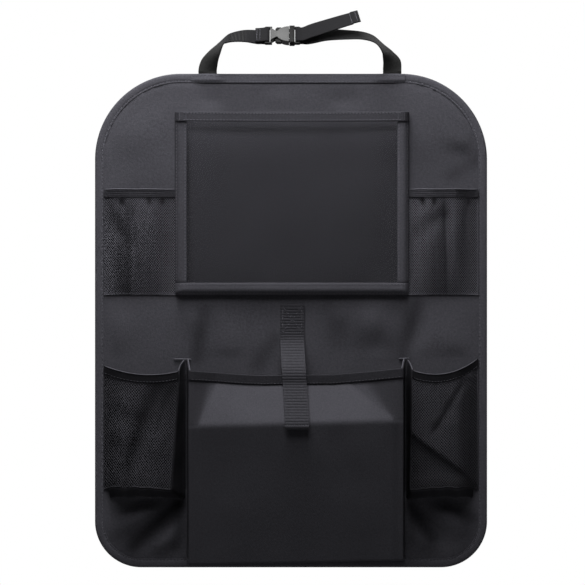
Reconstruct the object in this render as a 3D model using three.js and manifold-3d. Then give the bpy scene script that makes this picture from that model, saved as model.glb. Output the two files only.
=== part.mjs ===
// A car seat back organizer: a padded fabric panel with a bound edge, a clear window pocket,
// four mesh pockets, a gusseted box pocket with a closing strap, and a hanging strap with a
// side-release buckle. Millimetres, +Z up. The front looks along -Y, and the rear face lies at y = 0.
import * as THREE from "three";
import { mergeVertices } from "three/addons/utils/BufferGeometryUtils.js";
import Module from "manifold-3d";

const wasm = await Module();
wasm.setup();

// Clearance between two sewn or touching pieces.
const seamGap = 0.3;

// Back panel and its binding.
const panelWidth = 425;
const panelHeight = 535;
const topCorner = 93;
const bottomCorner = 50;
const rimThickness = 2;
const bindingWidth = 9.5;
const bindingTape = 0.7;
const bindingEdge = 1.2;
const cornerSteps = 6;

// Doubled band along the top edge, which covers the ends of the hanging strap.
const bandLeft = -108.5;
const bandRight = 123.7;
const bandHeight = 12;
const bandTape = 1.2;
const bandFoot = 1.5;

// Clear window pocket and the fabric border sewn round it.
const windowLeft = -124.8;
const windowRight = 127;
const windowTopInset = 41.5;
const windowBottom = 28.8;
const borderWidth = 12;
const borderTape = 1.2;
const windowDepth = 5.5;
const filmThickness = 0.8;
const filmTuck = 3.5;
const topBorderHeight = 10.5;
const topBorderBow = 1.6;

// Mesh pockets, shared sizes.
const netThickness = 1.2;
const hemWidth = 9;
const hemThickness = 2.2;

// Upper mesh pockets, one on each side of the window.
const upperHemTop = 142;
const upperBottom = 28;
const upperBulge = 14;
const upperFoldDepth = 3;

// Lower mesh pockets, one on each side of the box pocket.
const lowerHemOuterLeft = -48.5;
const lowerHemOuterRight = -40.6;
const lowerHemInnerLeft = -54.5;
const lowerHemInnerRight = -53.1;
const lowerHemSagLeft = 6.5;
const lowerHemSagRight = 10;
const lowerBottomInset = 85.5;
const lowerBottomArch = 3;
const lowerDepthTop = 13;
const lowerDepthBottom = 21;
const lowerLeftInnerTop = 121.5;
const lowerLeftInnerBottom = 130;
const lowerRightInnerTop = 131.3;
const lowerRightInnerBottom = 129;
const lowerGussetReach = 0.92;
const lowerGussetDrop = 11;
const lowerBaseTop = -42;
const lowerFoldDepth = 6;
const gussetCloth = 1.2;

// Box pocket in the lower middle. Its depths are measured from the rear face.
const boxLeft = -109.8;
const boxRight = 120.4;
const boxHemLeft = -53.3;
const boxHemMiddle = -58.5;
const boxHemRight = -50.7;
const boxHemWidth = 10;
const boxHemThickness = 2;
const boxCreaseLeft = -112.3;
const boxCreaseRight = -106.3;
const boxBottomLeftInset = 5.9;
const boxBottomRightInset = 10.3;
const boxHemDepth = 25;
const boxHemSideDepth = 36;
const boxCreaseDepth = 44;
const boxCreaseSideDepth = 40;
const boxBottomDepth = 32;
const boxBottomSideDepth = 29;
const boxSeamShare = 0.022;
const boxFacetStart = 0.04;
const boxFacetSpread = 0.13;
const boxHemFullness = 1.15;
const boxCloth = 1.6;
const boxBaseSpread = 3.5;
const boxBaseTop = -41.2;
const boxBaseInset = 12;
const boxPleat = 6;

// Closing strap of the box pocket, with its hook patch and the loop patch on the pocket.
const closureWidth = 26;
const closureTape = 1.8;
const closureTop = 17.2;
const closureSewn = -15.7;
const closureEnd = -114.5;
const closureTopX = 1.4;
const closureEndX = 6.3;
const patchThickness = 1.2;
const patchWidth = 22;
const patchTop = -76;
const patchBottom = -104;

// Hanging strap, a loop of webbing over the headrest.
const strapWidth = 20;
const strapTape = 1.3;
const strapLeftX = -90.3;
const strapRightX = 109.6;
const strapFootRise = 4;
const strapSewn = 10;
const strapSewnRamp = 3.5;
const strapRearLayer = 1.1;
const strapFrontLayer = 0.3;
const strapRearEase = 0.2;
const strapFrontEase = 0.9;
const tailEndX = 73.9;
const tailRise = 19.9;

// Side-release buckle, drawn flat and then leaned back about X.
const buckleLean = 40;
const buckleDepth = 11;
const buckleRise = 40.5;
const railWidth = 2;
const webClearance = 0.5;
const barLength = 4;
const barThickness = 3;
const socketEnd = -28.5;
const socketBodyStart = -22.4;
const socketMouth = -2;
const socketThickness = 7;
const socketWall = 1.5;
const socketEndHalf = 9.9;
const socketWaistHalf = 5.8;
const socketMouthHalf = 11.5;
const socketWaistX = -14;
const socketFlare = 5;
const socketCavityHalf = 9.2;
const socketCavityEnd = -19;
const plugEnd = 10;
const plugBodyEnd = 3.9;
const prongTip = -17;
const prongBarb = 2;
const prongPadStart = -10.5;
const prongWidth = 2.2;
const prongPadHalf = 11.2;
const prongClearance = 0.4;
const tongueHalf = 2;
const tongueTip = -12;
const buckleBevel = 0.6;

// The strap between its foot and the buckle: the share of the way in X, the share of the rise,
// the depth against the buckle's, and the lean and the tilt of the webbing's width in degrees.
const leftPlaces = [
  [0.03, 0.33, 0.67, 84, 24],
  [0.11, 0.55, 0.91, 79, 48],
  [0.22, 0.79, 1.09, 76, 71],
  [0.33, 0.91, 1.09, 11, 66],
  [0.41, 0.96, 1.07, 14, 59],
  [0.64, 1, 1.02, 4, 48],
];
const rightPlaces = [
  [0, 0.33, 0.67, -86, 17],
  [0.05, 0.56, 0.93, -73, 54],
  [0.11, 0.73, 1.09, -33, 70],
  [0.18, 0.89, 1.09, 10, 62],
  [0.24, 0.96, 1.09, 12, 61],
  [0.34, 1.02, 1.09, 4, 61],
  [0.5, 1.04, 1.04, 0, 56],
  [0.72, 1.03, 0.95, 0, 48],
];
const tailPlaces = [
  [0.19, 0.23, 1.22, 6, 40],
  [0.53, 0.57, 1.27, 12, 43],
  [0.81, 0.84, 1.27, 14, 46],
  [1, 1, 1.27, 15, 47],
];

// Sizes that follow from the ones above.
const panelTop = panelHeight / 2;
const panelBottom = -panelHeight / 2;
const buckleHeight = panelTop + buckleRise;
const windowTop = panelTop - windowTopInset;
const lowerBottom = panelBottom + lowerBottomInset;
const boxBottomLeft = panelBottom + boxBottomLeftInset;
const boxBottomRight = panelBottom + boxBottomRightInset;
const boxBaseBottom = panelBottom + boxBaseInset;
const panelThickness = rimThickness + 2 * (bindingTape + seamGap);
const skin = panelThickness + seamGap;
const sideSeam = panelWidth / 2 - bindingWidth - seamGap;
const boxLayers = boxCloth + 3 * seamGap + 2 * patchThickness;

const panelCloth = cloth(0x3a3a3b, 0.92);
const tapeCloth = cloth(0x2b2b2c, 0.85);
const netCloth = cloth(0x232324, 0.9);
const webCloth = cloth(0x2e2e2f, 0.8);
const closureCloth = cloth(0x414142, 0.85);
const patchCloth = cloth(0x202021, 0.95);
const clearFilm = new THREE.MeshStandardMaterial({
  color: 0xd5d9db,
  roughness: 0.12,
  metalness: 0,
  transparent: true,
  opacity: 0.35,
});
const greyPlastic = new THREE.MeshStandardMaterial({ color: 0x777779, roughness: 0.45, metalness: 0 });
const blackPlastic = new THREE.MeshStandardMaterial({ color: 0x19191a, roughness: 0.3, metalness: 0 });

const organizer = new THREE.Group();

function cloth(color, roughness) {
  return new THREE.MeshStandardMaterial({ color, roughness, metalness: 0 });
}

function add(name, geometry, material) {
  const mesh = new THREE.Mesh(geometry, material);
  mesh.name = name;
  organizer.add(mesh);
}

function mix(a, b, t) {
  return a + (b - a) * t;
}

// Goes smoothly from 0 to 1 as t goes from 0 to 1, and stays there.
function ease(t) {
  const held = Math.min(1, Math.max(0, t));
  return held * held * (3 - 2 * held);
}

// A bell of height 1 at zero, which fades within about twice its width.
function bell(distance, width) {
  return Math.exp(-((distance / width) ** 2));
}

// Runs evenly through a list of stops as t goes from 0 to 1.
function through(stops, t) {
  const last = stops.length - 1;
  const at = Math.min(t * last, last);
  const step = Math.min(Math.floor(at), last - 1);
  return mix(stops[step], stops[step + 1], at - step);
}

function solidOf(geometry) {
  const bare = geometry.clone();
  bare.deleteAttribute("normal");
  bare.deleteAttribute("uv");
  const merged = mergeVertices(bare, 1e-3);
  return new wasm.Manifold(
    new wasm.Mesh({
      numProp: 3,
      vertProperties: merged.getAttribute("position").array,
      triVerts: new Uint32Array(merged.index.array),
    }),
  );
}

function geometryOf(solid) {
  const mesh = solid.getMesh();
  const geometry = new THREE.BufferGeometry();
  geometry.setAttribute("position", new THREE.BufferAttribute(mesh.vertProperties, 3));
  geometry.setIndex(new THREE.BufferAttribute(mesh.triVerts, 1));
  geometry.computeVertexNormals();
  return geometry;
}

// A flat piece cut to a shape in X and Z, between two depths in front of the rear face.
function slab(shape, near, far) {
  const geometry = new THREE.ExtrudeGeometry(shape, {
    depth: far - near,
    bevelEnabled: false,
    curveSegments: cornerSteps,
  });
  geometry.rotateX(Math.PI / 2);
  geometry.translate(0, -near, 0);
  return geometry;
}

// A thin closed sheet. Its first face lies a lift away from surface(u, v), and its second lies
// its thickness further, on the side that the turn from u to v points to.
function sheet(name, surface, columns, rows, thickness, material, lift = 0) {
  const geometry = new THREE.BoxGeometry(1, 1, 1, columns, rows, 1);
  const places = geometry.getAttribute("position");
  const reach = 1e-3;
  for (let i = 0; i < places.count; i += 1) {
    const u = places.getX(i) + 0.5;
    const v = places.getY(i) + 0.5;
    const layer = places.getZ(i) + 0.5;
    const alongU = surface(Math.min(1, u + reach), v).sub(surface(Math.max(0, u - reach), v));
    const alongV = surface(u, Math.min(1, v + reach)).sub(surface(u, Math.max(0, v - reach)));
    const normal = alongU.cross(alongV).normalize();
    const point = surface(u, v).addScaledVector(normal, lift + layer * thickness);
    places.setXYZ(i, point.x, point.y, point.z);
  }
  geometry.computeVertexNormals();
  add(name, geometry, material);
}

// The panel's outline, drawn an inset inside its outer edge.
function panelOutline(inset) {
  const side = panelWidth / 2 - inset;
  const top = panelHeight / 2 - inset;
  const upper = topCorner - inset;
  const lower = bottomCorner - inset;
  const outline = new THREE.Shape();
  outline.moveTo(-side + lower, -top);
  outline.lineTo(side - lower, -top);
  outline.absarc(side - lower, -top + lower, lower, -Math.PI / 2, 0, false);
  outline.lineTo(side, top - upper);
  outline.absarc(side - upper, top - upper, upper, 0, Math.PI / 2, false);
  outline.lineTo(-side + upper, top);
  outline.absarc(-side + upper, top - upper, upper, Math.PI / 2, Math.PI, false);
  outline.lineTo(-side, -top + lower);
  outline.absarc(-side + lower, -top + lower, lower, Math.PI, 1.5 * Math.PI, false);
  return outline;
}

// The padded panel is thinner along its rim, where the folded binding grips it.
function buildPanel() {
  const core = solidOf(slab(panelOutline(bindingWidth + seamGap), 0, panelThickness));
  const rimStart = bindingTape + seamGap;
  const rim = slab(panelOutline(bindingEdge + seamGap), rimStart, rimStart + rimThickness);
  add("back_panel", geometryOf(core.add(solidOf(rim))), panelCloth);

  const folded = solidOf(slab(panelOutline(0), 0, panelThickness));
  const inside = solidOf(slab(panelOutline(bindingWidth), -1, panelThickness + 1));
  const channel = solidOf(slab(panelOutline(bindingEdge), bindingTape, panelThickness - bindingTape));
  add("edge_binding", geometryOf(folded.subtract(inside).subtract(channel)), tapeCloth);
}

// The top band stands off the panel by a foot along its lower edge, and the strap ends lie under it.
function buildTopBand() {
  const top = panelHeight / 2;
  const bottom = top - bandHeight;
  const under = skin + strapTape + seamGap;
  const section = new THREE.Shape();
  section.moveTo(skin, bottom);
  section.lineTo(under + bandTape, bottom);
  section.lineTo(under + bandTape, top);
  section.lineTo(under, top);
  section.lineTo(under, bottom + bandFoot);
  section.lineTo(skin, bottom + bandFoot);
  const geometry = new THREE.ExtrudeGeometry(section, { depth: bandRight - bandLeft, bevelEnabled: false });
  const turned = new THREE.Matrix4().makeBasis(
    new THREE.Vector3(0, -1, 0),
    new THREE.Vector3(0, 0, 1),
    new THREE.Vector3(-1, 0, 0),
  );
  geometry.applyMatrix4(turned);
  geometry.translate(bandRight, 0, 0);
  add("top_band", geometry, tapeCloth);
}

// How far the window's border has risen from the panel, from 0 at its outer edge to 1 at the film.
function windowRise(x, z) {
  const ramp = borderWidth - filmTuck;
  const fromSide = Math.min(x - windowLeft, windowRight - x) / ramp;
  return ease(Math.min(fromSide, (z - windowBottom) / ramp));
}

function buildWindow() {
  const filmFront = windowDepth + filmThickness + seamGap;
  const border = (x, z) => new THREE.Vector3(x, -(skin + filmFront * windowRise(x, z)), z);
  const inset = [0, 0.2, 0.45, 0.71, 1].map((share) => share * borderWidth);
  const leftStops = inset.map((step) => windowLeft + step);
  const rightStops = inset.map((step) => windowRight - step).reverse();
  const bottomStops = inset.map((step) => windowBottom + step);
  const sideBottom = windowBottom + borderWidth + seamGap;

  const side = (stops) => (u, v) => border(through(stops, u), mix(sideBottom, windowTop, v));
  sheet("window_border_left", side(leftStops), 4, 2, borderTape, tapeCloth);
  sheet("window_border_right", side(rightStops), 4, 2, borderTape, tapeCloth);

  const wide = [...leftStops, (windowLeft + windowRight) / 2, ...rightStops];
  const columns = wide.length - 1;
  const bottom = (u, v) => border(through(wide, u), through(bottomStops, v));
  sheet("window_border_bottom", bottom, columns, 4, borderTape, tapeCloth);

  const bow = (x) => topBorderBow * Math.sin((Math.PI * (x - windowLeft)) / (windowRight - windowLeft));
  const top = (u, v) => {
    const x = through(wide, u);
    const point = border(x, mix(windowTop - topBorderHeight, windowTop, v));
    point.y -= bow(x);
    return point;
  };
  sheet("window_border_top", top, columns, 1, borderTape, tapeCloth, borderTape + seamGap);

  const filmEdge = borderWidth - filmTuck + seamGap;
  const film = new THREE.Shape();
  film.moveTo(windowLeft + filmEdge, windowBottom + filmEdge);
  film.lineTo(windowRight - filmEdge, windowBottom + filmEdge);
  film.lineTo(windowRight - filmEdge, windowTop - filmTuck);
  film.lineTo(windowLeft + filmEdge, windowTop - filmTuck);
  add("window_film", slab(film, skin + windowDepth, skin + windowDepth + filmThickness), clearFilm);
}

// An upper mesh pocket lies between the binding and the window's border, and bulges at its mouth.
function buildUpperPocket(side) {
  const name = side < 0 ? "left" : "right";
  const outer = side * sideSeam;
  const inner = side < 0 ? windowLeft - seamGap : windowRight + seamGap;
  const left = Math.min(outer, inner);
  const right = Math.max(outer, inner);
  const foldAt = side < 0 ? 0.38 : 0.52;
  const rise = (u, v) => {
    const body = upperBulge * ease(2.7 * Math.min(u, 1 - u)) * Math.sin((Math.PI / 2) * v) ** 0.8;
    const crease = upperFoldDepth * bell(u - foldAt - 0.05 * (1 - v), 0.06) * v;
    const gather = 0.5 * upperFoldDepth * bell(u - foldAt - side * 0.3, 0.05) * v ** 2;
    return Math.max(0, body - crease - gather);
  };
  const netTop = upperHemTop - hemWidth - seamGap;
  const net = (u, v) =>
    new THREE.Vector3(mix(left, right, u), -(skin + rise(u, v)), mix(upperBottom, netTop, v));
  const hem = (u, v) =>
    new THREE.Vector3(mix(left, right, u), -(skin + rise(u, 1)), upperHemTop - hemWidth * (1 - v));
  sheet(`mesh_upper_${name}`, net, 18, 8, netThickness, netCloth);
  sheet(`hem_upper_${name}`, hem, 18, 1, hemThickness, tapeCloth);
}

// A lower mesh pocket stands off the panel on a gusset along its inner side and its bottom.
function buildLowerPocket(side) {
  const name = side < 0 ? "left" : "right";
  // Counted from the panel's middle line, so that both pockets share one layout.
  const innerTop = side < 0 ? lowerLeftInnerTop : lowerRightInnerTop;
  const innerBottom = side < 0 ? lowerLeftInnerBottom : lowerRightInnerBottom;
  const innerAt = (v) => mix(innerBottom, innerTop, v);
  const boxEdge = side < 0 ? -boxLeft : boxRight;
  const base = boxEdge + boxBaseSpread + gussetCloth + 3 * seamGap;
  const bottomAt = (across) => lowerBottom + lowerBottomArch * Math.sin(Math.PI * across);
  const hemOuter = side < 0 ? lowerHemOuterLeft : lowerHemOuterRight;
  const hemInner = side < 0 ? lowerHemInnerLeft : lowerHemInnerRight;
  const hemSag = side < 0 ? lowerHemSagLeft : lowerHemSagRight;
  const hemTopAt = (across) => mix(hemOuter, hemInner, across) - hemSag * Math.sin(Math.PI * across) ** 0.8;
  const netTopAt = (across) => hemTopAt(across) - hemWidth - seamGap;
  const rise = (across, v) => {
    const profile = ease(across / 0.35) * (1 - 0.15 * ease((across - 0.75) / 0.25));
    const body = mix(lowerDepthBottom, lowerDepthTop, v) * profile;
    const line = side < 0 ? across - 0.32 - 0.4 * v : 0.5 * (across + 0.065 - 2.08 * v);
    const crease = lowerFoldDepth * bell(line, 0.08) * Math.sin(Math.PI * v) ** 0.5 * profile;
    return body - crease;
  };
  const place = (across, v, z) =>
    new THREE.Vector3(side * mix(sideSeam, innerAt(v), across), -(skin + rise(across, v)), z);
  const acrossOf = (u) => (side < 0 ? u : 1 - u);
  const net = (u, v) => {
    const across = acrossOf(u);
    return place(across, v, mix(bottomAt(across), netTopAt(across), v));
  };
  const hem = (u, v) => {
    const across = acrossOf(u);
    return place(across, 1, hemTopAt(across) - hemWidth * (1 - v));
  };
  sheet(`mesh_lower_${name}`, net, 18, 10, netThickness, netCloth);
  sheet(`hem_lower_${name}`, hem, 18, 1, hemThickness, tapeCloth);

  // The gusset runs down the inner side, round the lower corner and out along the bottom.
  const turn = 0.55;
  const gusset = (u, v) => {
    const run = side < 0 ? 1 - u : u;
    const down = Math.min(1, run / turn);
    const out = Math.max(0, (run - turn) / (1 - turn));
    const across = 1 - lowerGussetReach * out;
    const height = 1 - down;
    const z = mix(bottomAt(across), hemTopAt(across) - seamGap, height);
    const front = place(across, Math.min(1, (z - bottomAt(across)) / (netTopAt(across) - bottomAt(across))), z);
    front.y += 2 * seamGap;
    const footZ = z - lowerGussetDrop * down ** 4 + (lowerBaseTop - z) * height ** 8;
    const foot = new THREE.Vector3(side * mix(sideSeam, base, across), -skin, footZ);
    const point = foot.lerp(front, v);
    const tuck = gussetCloth * Math.sin(Math.PI * v);
    point.x += side * tuck * across;
    return point;
  };
  sheet(`gusset_lower_${name}`, gusset, 20, 2, gussetCloth, tapeCloth);
}

function boxTopAt(across) {
  const edge = mix(boxHemLeft, boxHemRight, across);
  const straight = mix(boxHemLeft, boxHemRight, 0.5);
  return edge + (boxHemMiddle - straight) * Math.min(1, boxHemFullness * Math.sin(Math.PI * across));
}

function boxCreaseAt(across) {
  return mix(boxCreaseLeft, boxCreaseRight, across);
}

function boxBottomAt(across) {
  return mix(boxBottomLeft, boxBottomRight, across);
}

// How far the inner face of the box pocket's front stands from the rear face. Its sides stand
// out on their gussets, and its middle leans back from the crease to the upright hem.
function boxDepthAt(across, z) {
  const crease = boxCreaseAt(across);
  const above = Math.min(1, (z - crease) / (boxTopAt(across) - boxHemWidth - crease));
  const below = (crease - z) / (crease - boxBottomAt(across));
  const facet = boxFacetStart + boxFacetSpread * Math.max(0, above);
  const inward = THREE.MathUtils.clamp((Math.min(across, 1 - across) - boxSeamShare) / facet, 0, 1);
  if (above > 0) {
    const sideDepth = mix(boxCreaseSideDepth, boxHemSideDepth, above);
    return mix(sideDepth, mix(boxCreaseDepth, boxHemDepth, above), inward);
  }
  return mix(mix(boxCreaseSideDepth, boxBottomSideDepth, below), mix(boxCreaseDepth, boxBottomDepth, below), inward);
}

function boxPoint(across, z) {
  return new THREE.Vector3(mix(boxLeft, boxRight, across), -boxDepthAt(across, z), z);
}

function buildBoxPocket() {
  const columnStops = [0, 0.02, 0.05, 0.1, 0.17, 0.3, 0.43, 0.56, 0.7, 0.83, 0.9, 0.95, 0.98, 1];
  const lowerRows = 6;
  const upperRows = 4;
  const hemFoot = (across) => boxTopAt(across) - boxHemWidth;
  const rows = lowerRows + upperRows;
  const crease = lowerRows / rows;
  const front = (u, v) => {
    const across = through(columnStops, u);
    const lower = mix(boxBottomAt(across), boxCreaseAt(across), v / crease);
    const foot = hemFoot(across);
    const start = boxCreaseAt(across);
    const steps = [start, mix(start, foot, 1 / 3), mix(start, foot, 2 / 3), foot, boxTopAt(across)];
    return boxPoint(across, v < crease ? lower : through(steps, (v - crease) / (1 - crease)));
  };
  sheet("pocket_front", front, columnStops.length - 1, rows, boxCloth, panelCloth);

  const hem = (u, v) => {
    const across = through(columnStops, u);
    return boxPoint(across, mix(hemFoot(across), boxTopAt(across), v));
  };
  sheet("pocket_hem", hem, columnStops.length - 1, 1, boxHemThickness, tapeCloth, boxCloth + 1.5 * seamGap);

  // Each side gusset folds inwards once between the panel and the front.
  const pleats = [0, 0.5, 1, 0.5, 0];
  const sideGusset = (side) => (u, v) => {
    const across = side < 0 ? 0 : 1;
    const height = side < 0 ? 1 - u : u;
    const footZ = mix(boxBaseBottom, boxBottomAt(across) + boxCloth, v) + seamGap;
    const z = mix(footZ, mix(boxBaseTop, boxTopAt(across), v), height);
    const edge = mix(boxLeft, boxRight, across) - side * boxCloth;
    const fold = boxPleat * through(pleats, v) * ease(4 * Math.min(height + 0.05, 1 - height));
    const x = mix(edge + side * boxBaseSpread, edge, v) - side * fold;
    const depth = mix(skin, boxDepthAt(across, Math.max(z, boxBottomAt(across))) - 2 * seamGap, v);
    return new THREE.Vector3(x, -depth, z);
  };
  sheet("pocket_gusset_left", sideGusset(-1), 8, 4, boxCloth, panelCloth);
  sheet("pocket_gusset_right", sideGusset(1), 8, 4, boxCloth, panelCloth);

  const bottomGusset = (u, v) => {
    const spread = boxBaseSpread * (1 - v);
    const x = mix(boxLeft - spread, boxRight + spread, u);
    const depth = mix(skin + seamGap, boxDepthAt(u, boxBottomAt(u)) - 2 * seamGap, v);
    return new THREE.Vector3(x, -depth, mix(boxBaseBottom, boxBottomAt(u) + boxCloth, v));
  };
  sheet("pocket_gusset_bottom", bottomGusset, 10, 2, boxCloth, panelCloth);
}

// The closing strap is sewn to the panel, goes out over the mouth and lies down on the front.
function buildClosure() {
  const acrossOf = (x) => (x - boxLeft) / (boxRight - boxLeft);
  const centreAt = (z) => mix(closureTopX, closureEndX, ease((closureSewn - z) / (closureSewn - closureEnd)));
  const middle = acrossOf(centreAt(boxCreaseLeft));
  const crease = boxCreaseAt(middle);
  const mouth = boxTopAt(middle);
  const restAt = (z) => boxDepthAt(middle, z) + boxLayers;
  const heights = [
    closureEnd,
    crease,
    mix(crease, mouth, 0.25),
    mix(crease, mouth, 0.5),
    mouth - boxHemWidth,
    mouth,
    mix(mouth, closureSewn, 0.25),
    mix(mouth, closureSewn, 0.5),
    mix(mouth, closureSewn, 0.75),
    closureSewn,
    closureTop,
  ];
  const mouthDepth = restAt(mouth);
  const depths = heights.map((z) => {
    if (z <= mouth) return restAt(z);
    return mix(mouthDepth, skin, ease((z - mouth) / (closureSewn - mouth)) ** 0.8);
  });
  const strap = (u, v) => {
    const z = through(heights, v);
    const x = centreAt(z) + closureWidth * (u - 0.5);
    return new THREE.Vector3(x, -through(depths, v), z);
  };
  sheet("closure_strap", strap, 1, heights.length - 1, closureTape, closureCloth);

  const patch = (layer) => (u, v) => {
    const z = mix(patchBottom, patchTop, v);
    const x = centreAt(z) + patchWidth * (u - 0.5);
    return new THREE.Vector3(x, -(boxDepthAt(middle, z) + boxCloth + layer), z);
  };
  sheet("closure_loop_patch", patch(seamGap), 1, 2, patchThickness, patchCloth);
  sheet("closure_hook_patch", patch(2 * seamGap + patchThickness), 1, 2, patchThickness, patchCloth);
}

// The buckle's own directions: across its webbing, and out of its face.
const leanAngle = THREE.MathUtils.degToRad(90 - buckleLean);
const buckleAcross = new THREE.Vector3(0, Math.cos(leanAngle), Math.sin(leanAngle));
const buckleOut = new THREE.Vector3(0, -Math.sin(leanAngle), Math.cos(leanAngle));

function bucklePoint(x, out) {
  return new THREE.Vector3(x, -buckleDepth, buckleHeight).addScaledVector(buckleOut, out);
}

// Webbing follows a list of places, each with the direction of its width.
function webbing(name, stations) {
  const middle = new THREE.CatmullRomCurve3(stations.map((station) => station.place));
  const widths = new THREE.CatmullRomCurve3(stations.map((station) => station.width));
  const surface = (u, v) =>
    middle.getPoint(v).addScaledVector(widths.getPoint(v).normalize(), strapWidth * (u - 0.5));
  sheet(name, surface, 1, 2 * (stations.length - 1), strapTape, webCloth);
}

// A width direction that leans from +Z towards -X, and tilts from there towards the rear.
function widthOf(lean, tilt) {
  const leanTurn = THREE.MathUtils.degToRad(lean);
  const tiltTurn = THREE.MathUtils.degToRad(tilt);
  const flat = Math.cos(tiltTurn);
  return new THREE.Vector3(-Math.sin(leanTurn) * flat, Math.sin(tiltTurn), Math.cos(leanTurn) * flat);
}

// The turn of the webbing round a bar of the buckle, from the rear of the bar to its front.
function barTurn(centreX, towards, width) {
  const radius = barThickness / 2 + seamGap;
  return [-90, -45, 0, 45, 90].map((degrees) => {
    const angle = THREE.MathUtils.degToRad(degrees);
    const place = bucklePoint(centreX + towards * radius * Math.cos(angle), radius * Math.sin(angle));
    return { place, width };
  });
}

// The webbing's first places: tucked under the top band, at the panel's edge, and just above it.
function strapFoot(x, width) {
  const depth = skin + strapTape;
  const tucked = panelTop - bandHeight + bandFoot + seamGap;
  return [tucked, panelTop, panelTop + strapFootRise].map((z) => ({
    place: new THREE.Vector3(x, -depth, z),
    width: width.clone(),
  }));
}

function strapRun(places, startX, endX, startZ, rise, sign) {
  return places.map(([along, up, deep, lean, tilt]) => ({
    place: new THREE.Vector3(mix(startX, endX, along), -buckleDepth * deep, startZ + rise * up),
    width: widthOf(lean, tilt).multiplyScalar(sign),
  }));
}

function buildStraps() {
  const layer = barThickness / 2 + seamGap;
  const rise = buckleHeight - panelTop;
  const upright = buckleAcross;
  const left = [
    ...strapFoot(strapLeftX, widthOf(90, 0)),
    ...strapRun(leftPlaces, strapLeftX, socketEnd, panelTop, rise, 1),
    { place: bucklePoint(socketEnd - strapSewn, -strapRearLayer), width: upright },
    { place: bucklePoint(socketEnd - strapSewnRamp, strapRearEase - layer), width: upright },
    ...barTurn(socketEnd + barLength - barThickness / 2, 1, upright),
    { place: bucklePoint(socketEnd - strapSewnRamp, layer - strapFrontEase), width: upright },
    { place: bucklePoint(socketEnd - strapSewn, strapFrontLayer), width: upright },
  ];
  webbing("strap_left", left);

  const reversed = upright.clone().negate();
  const right = [
    ...strapFoot(strapRightX, widthOf(90, 0)),
    ...strapRun(rightPlaces, strapRightX, plugEnd, panelTop, rise, -1),
    { place: bucklePoint(plugEnd + strapSewn, -layer), width: reversed },
    { place: bucklePoint(plugEnd + strapFootRise / 2, -layer), width: reversed },
    ...barTurn(plugEnd - barLength + barThickness / 2, -1, reversed),
    { place: bucklePoint(plugEnd + strapFootRise / 2, layer), width: reversed },
    ...strapRun(tailPlaces, plugEnd, tailEndX, buckleHeight, tailRise, -1),
  ];
  webbing("strap_right", right);
}

// A plate of the buckle, drawn in its own plane and as thick as asked, centred on that plane.
function bucklePlate(shape, thickness, bevel) {
  const geometry = new THREE.ExtrudeGeometry(shape, {
    depth: thickness - 2 * bevel,
    bevelEnabled: bevel > 0,
    bevelSize: bevel,
    bevelThickness: bevel,
    bevelOffset: -bevel,
    bevelSegments: 2,
    curveSegments: 6,
  });
  geometry.translate(0, 0, bevel - thickness / 2);
  return solidOf(geometry);
}

function leanBack(solid) {
  const geometry = geometryOf(solid);
  geometry.rotateX(leanAngle);
  geometry.translate(0, -buckleDepth, buckleHeight);
  return geometry;
}

function rectangle(x0, x1, half) {
  const shape = new THREE.Shape();
  shape.moveTo(x0, -half);
  shape.lineTo(x1, -half);
  shape.lineTo(x1, half);
  shape.lineTo(x0, half);
  return shape;
}

// Two rails and a rounded bar, which leave a slot for the webbing between the bar and the body.
function webFrame(barStart, bodyEdge) {
  const inner = strapWidth / 2 + webClearance;
  const outer = inner + railWidth;
  const round = barThickness / 2;
  const section = new THREE.Shape();
  section.absarc(barStart + round, 0, round, Math.PI / 2, 1.5 * Math.PI, false);
  section.absarc(barStart + barLength - round, 0, round, -Math.PI / 2, Math.PI / 2, false);
  const bar = new THREE.ExtrudeGeometry(section, { depth: 2 * outer, bevelEnabled: false, curveSegments: 5 });
  bar.rotateX(Math.PI / 2);
  bar.translate(0, outer, 0);
  const railStart = Math.min(barStart + round, bodyEdge);
  const railEnd = Math.max(barStart + barLength - round, bodyEdge);
  const rails = rectangle(railStart, railEnd, outer);
  const slot = bucklePlate(rectangle(railStart - 1, railEnd + 1, inner), 2 * barThickness, 0);
  return bucklePlate(rails, barThickness, 0).subtract(slot).add(solidOf(bar));
}

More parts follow.
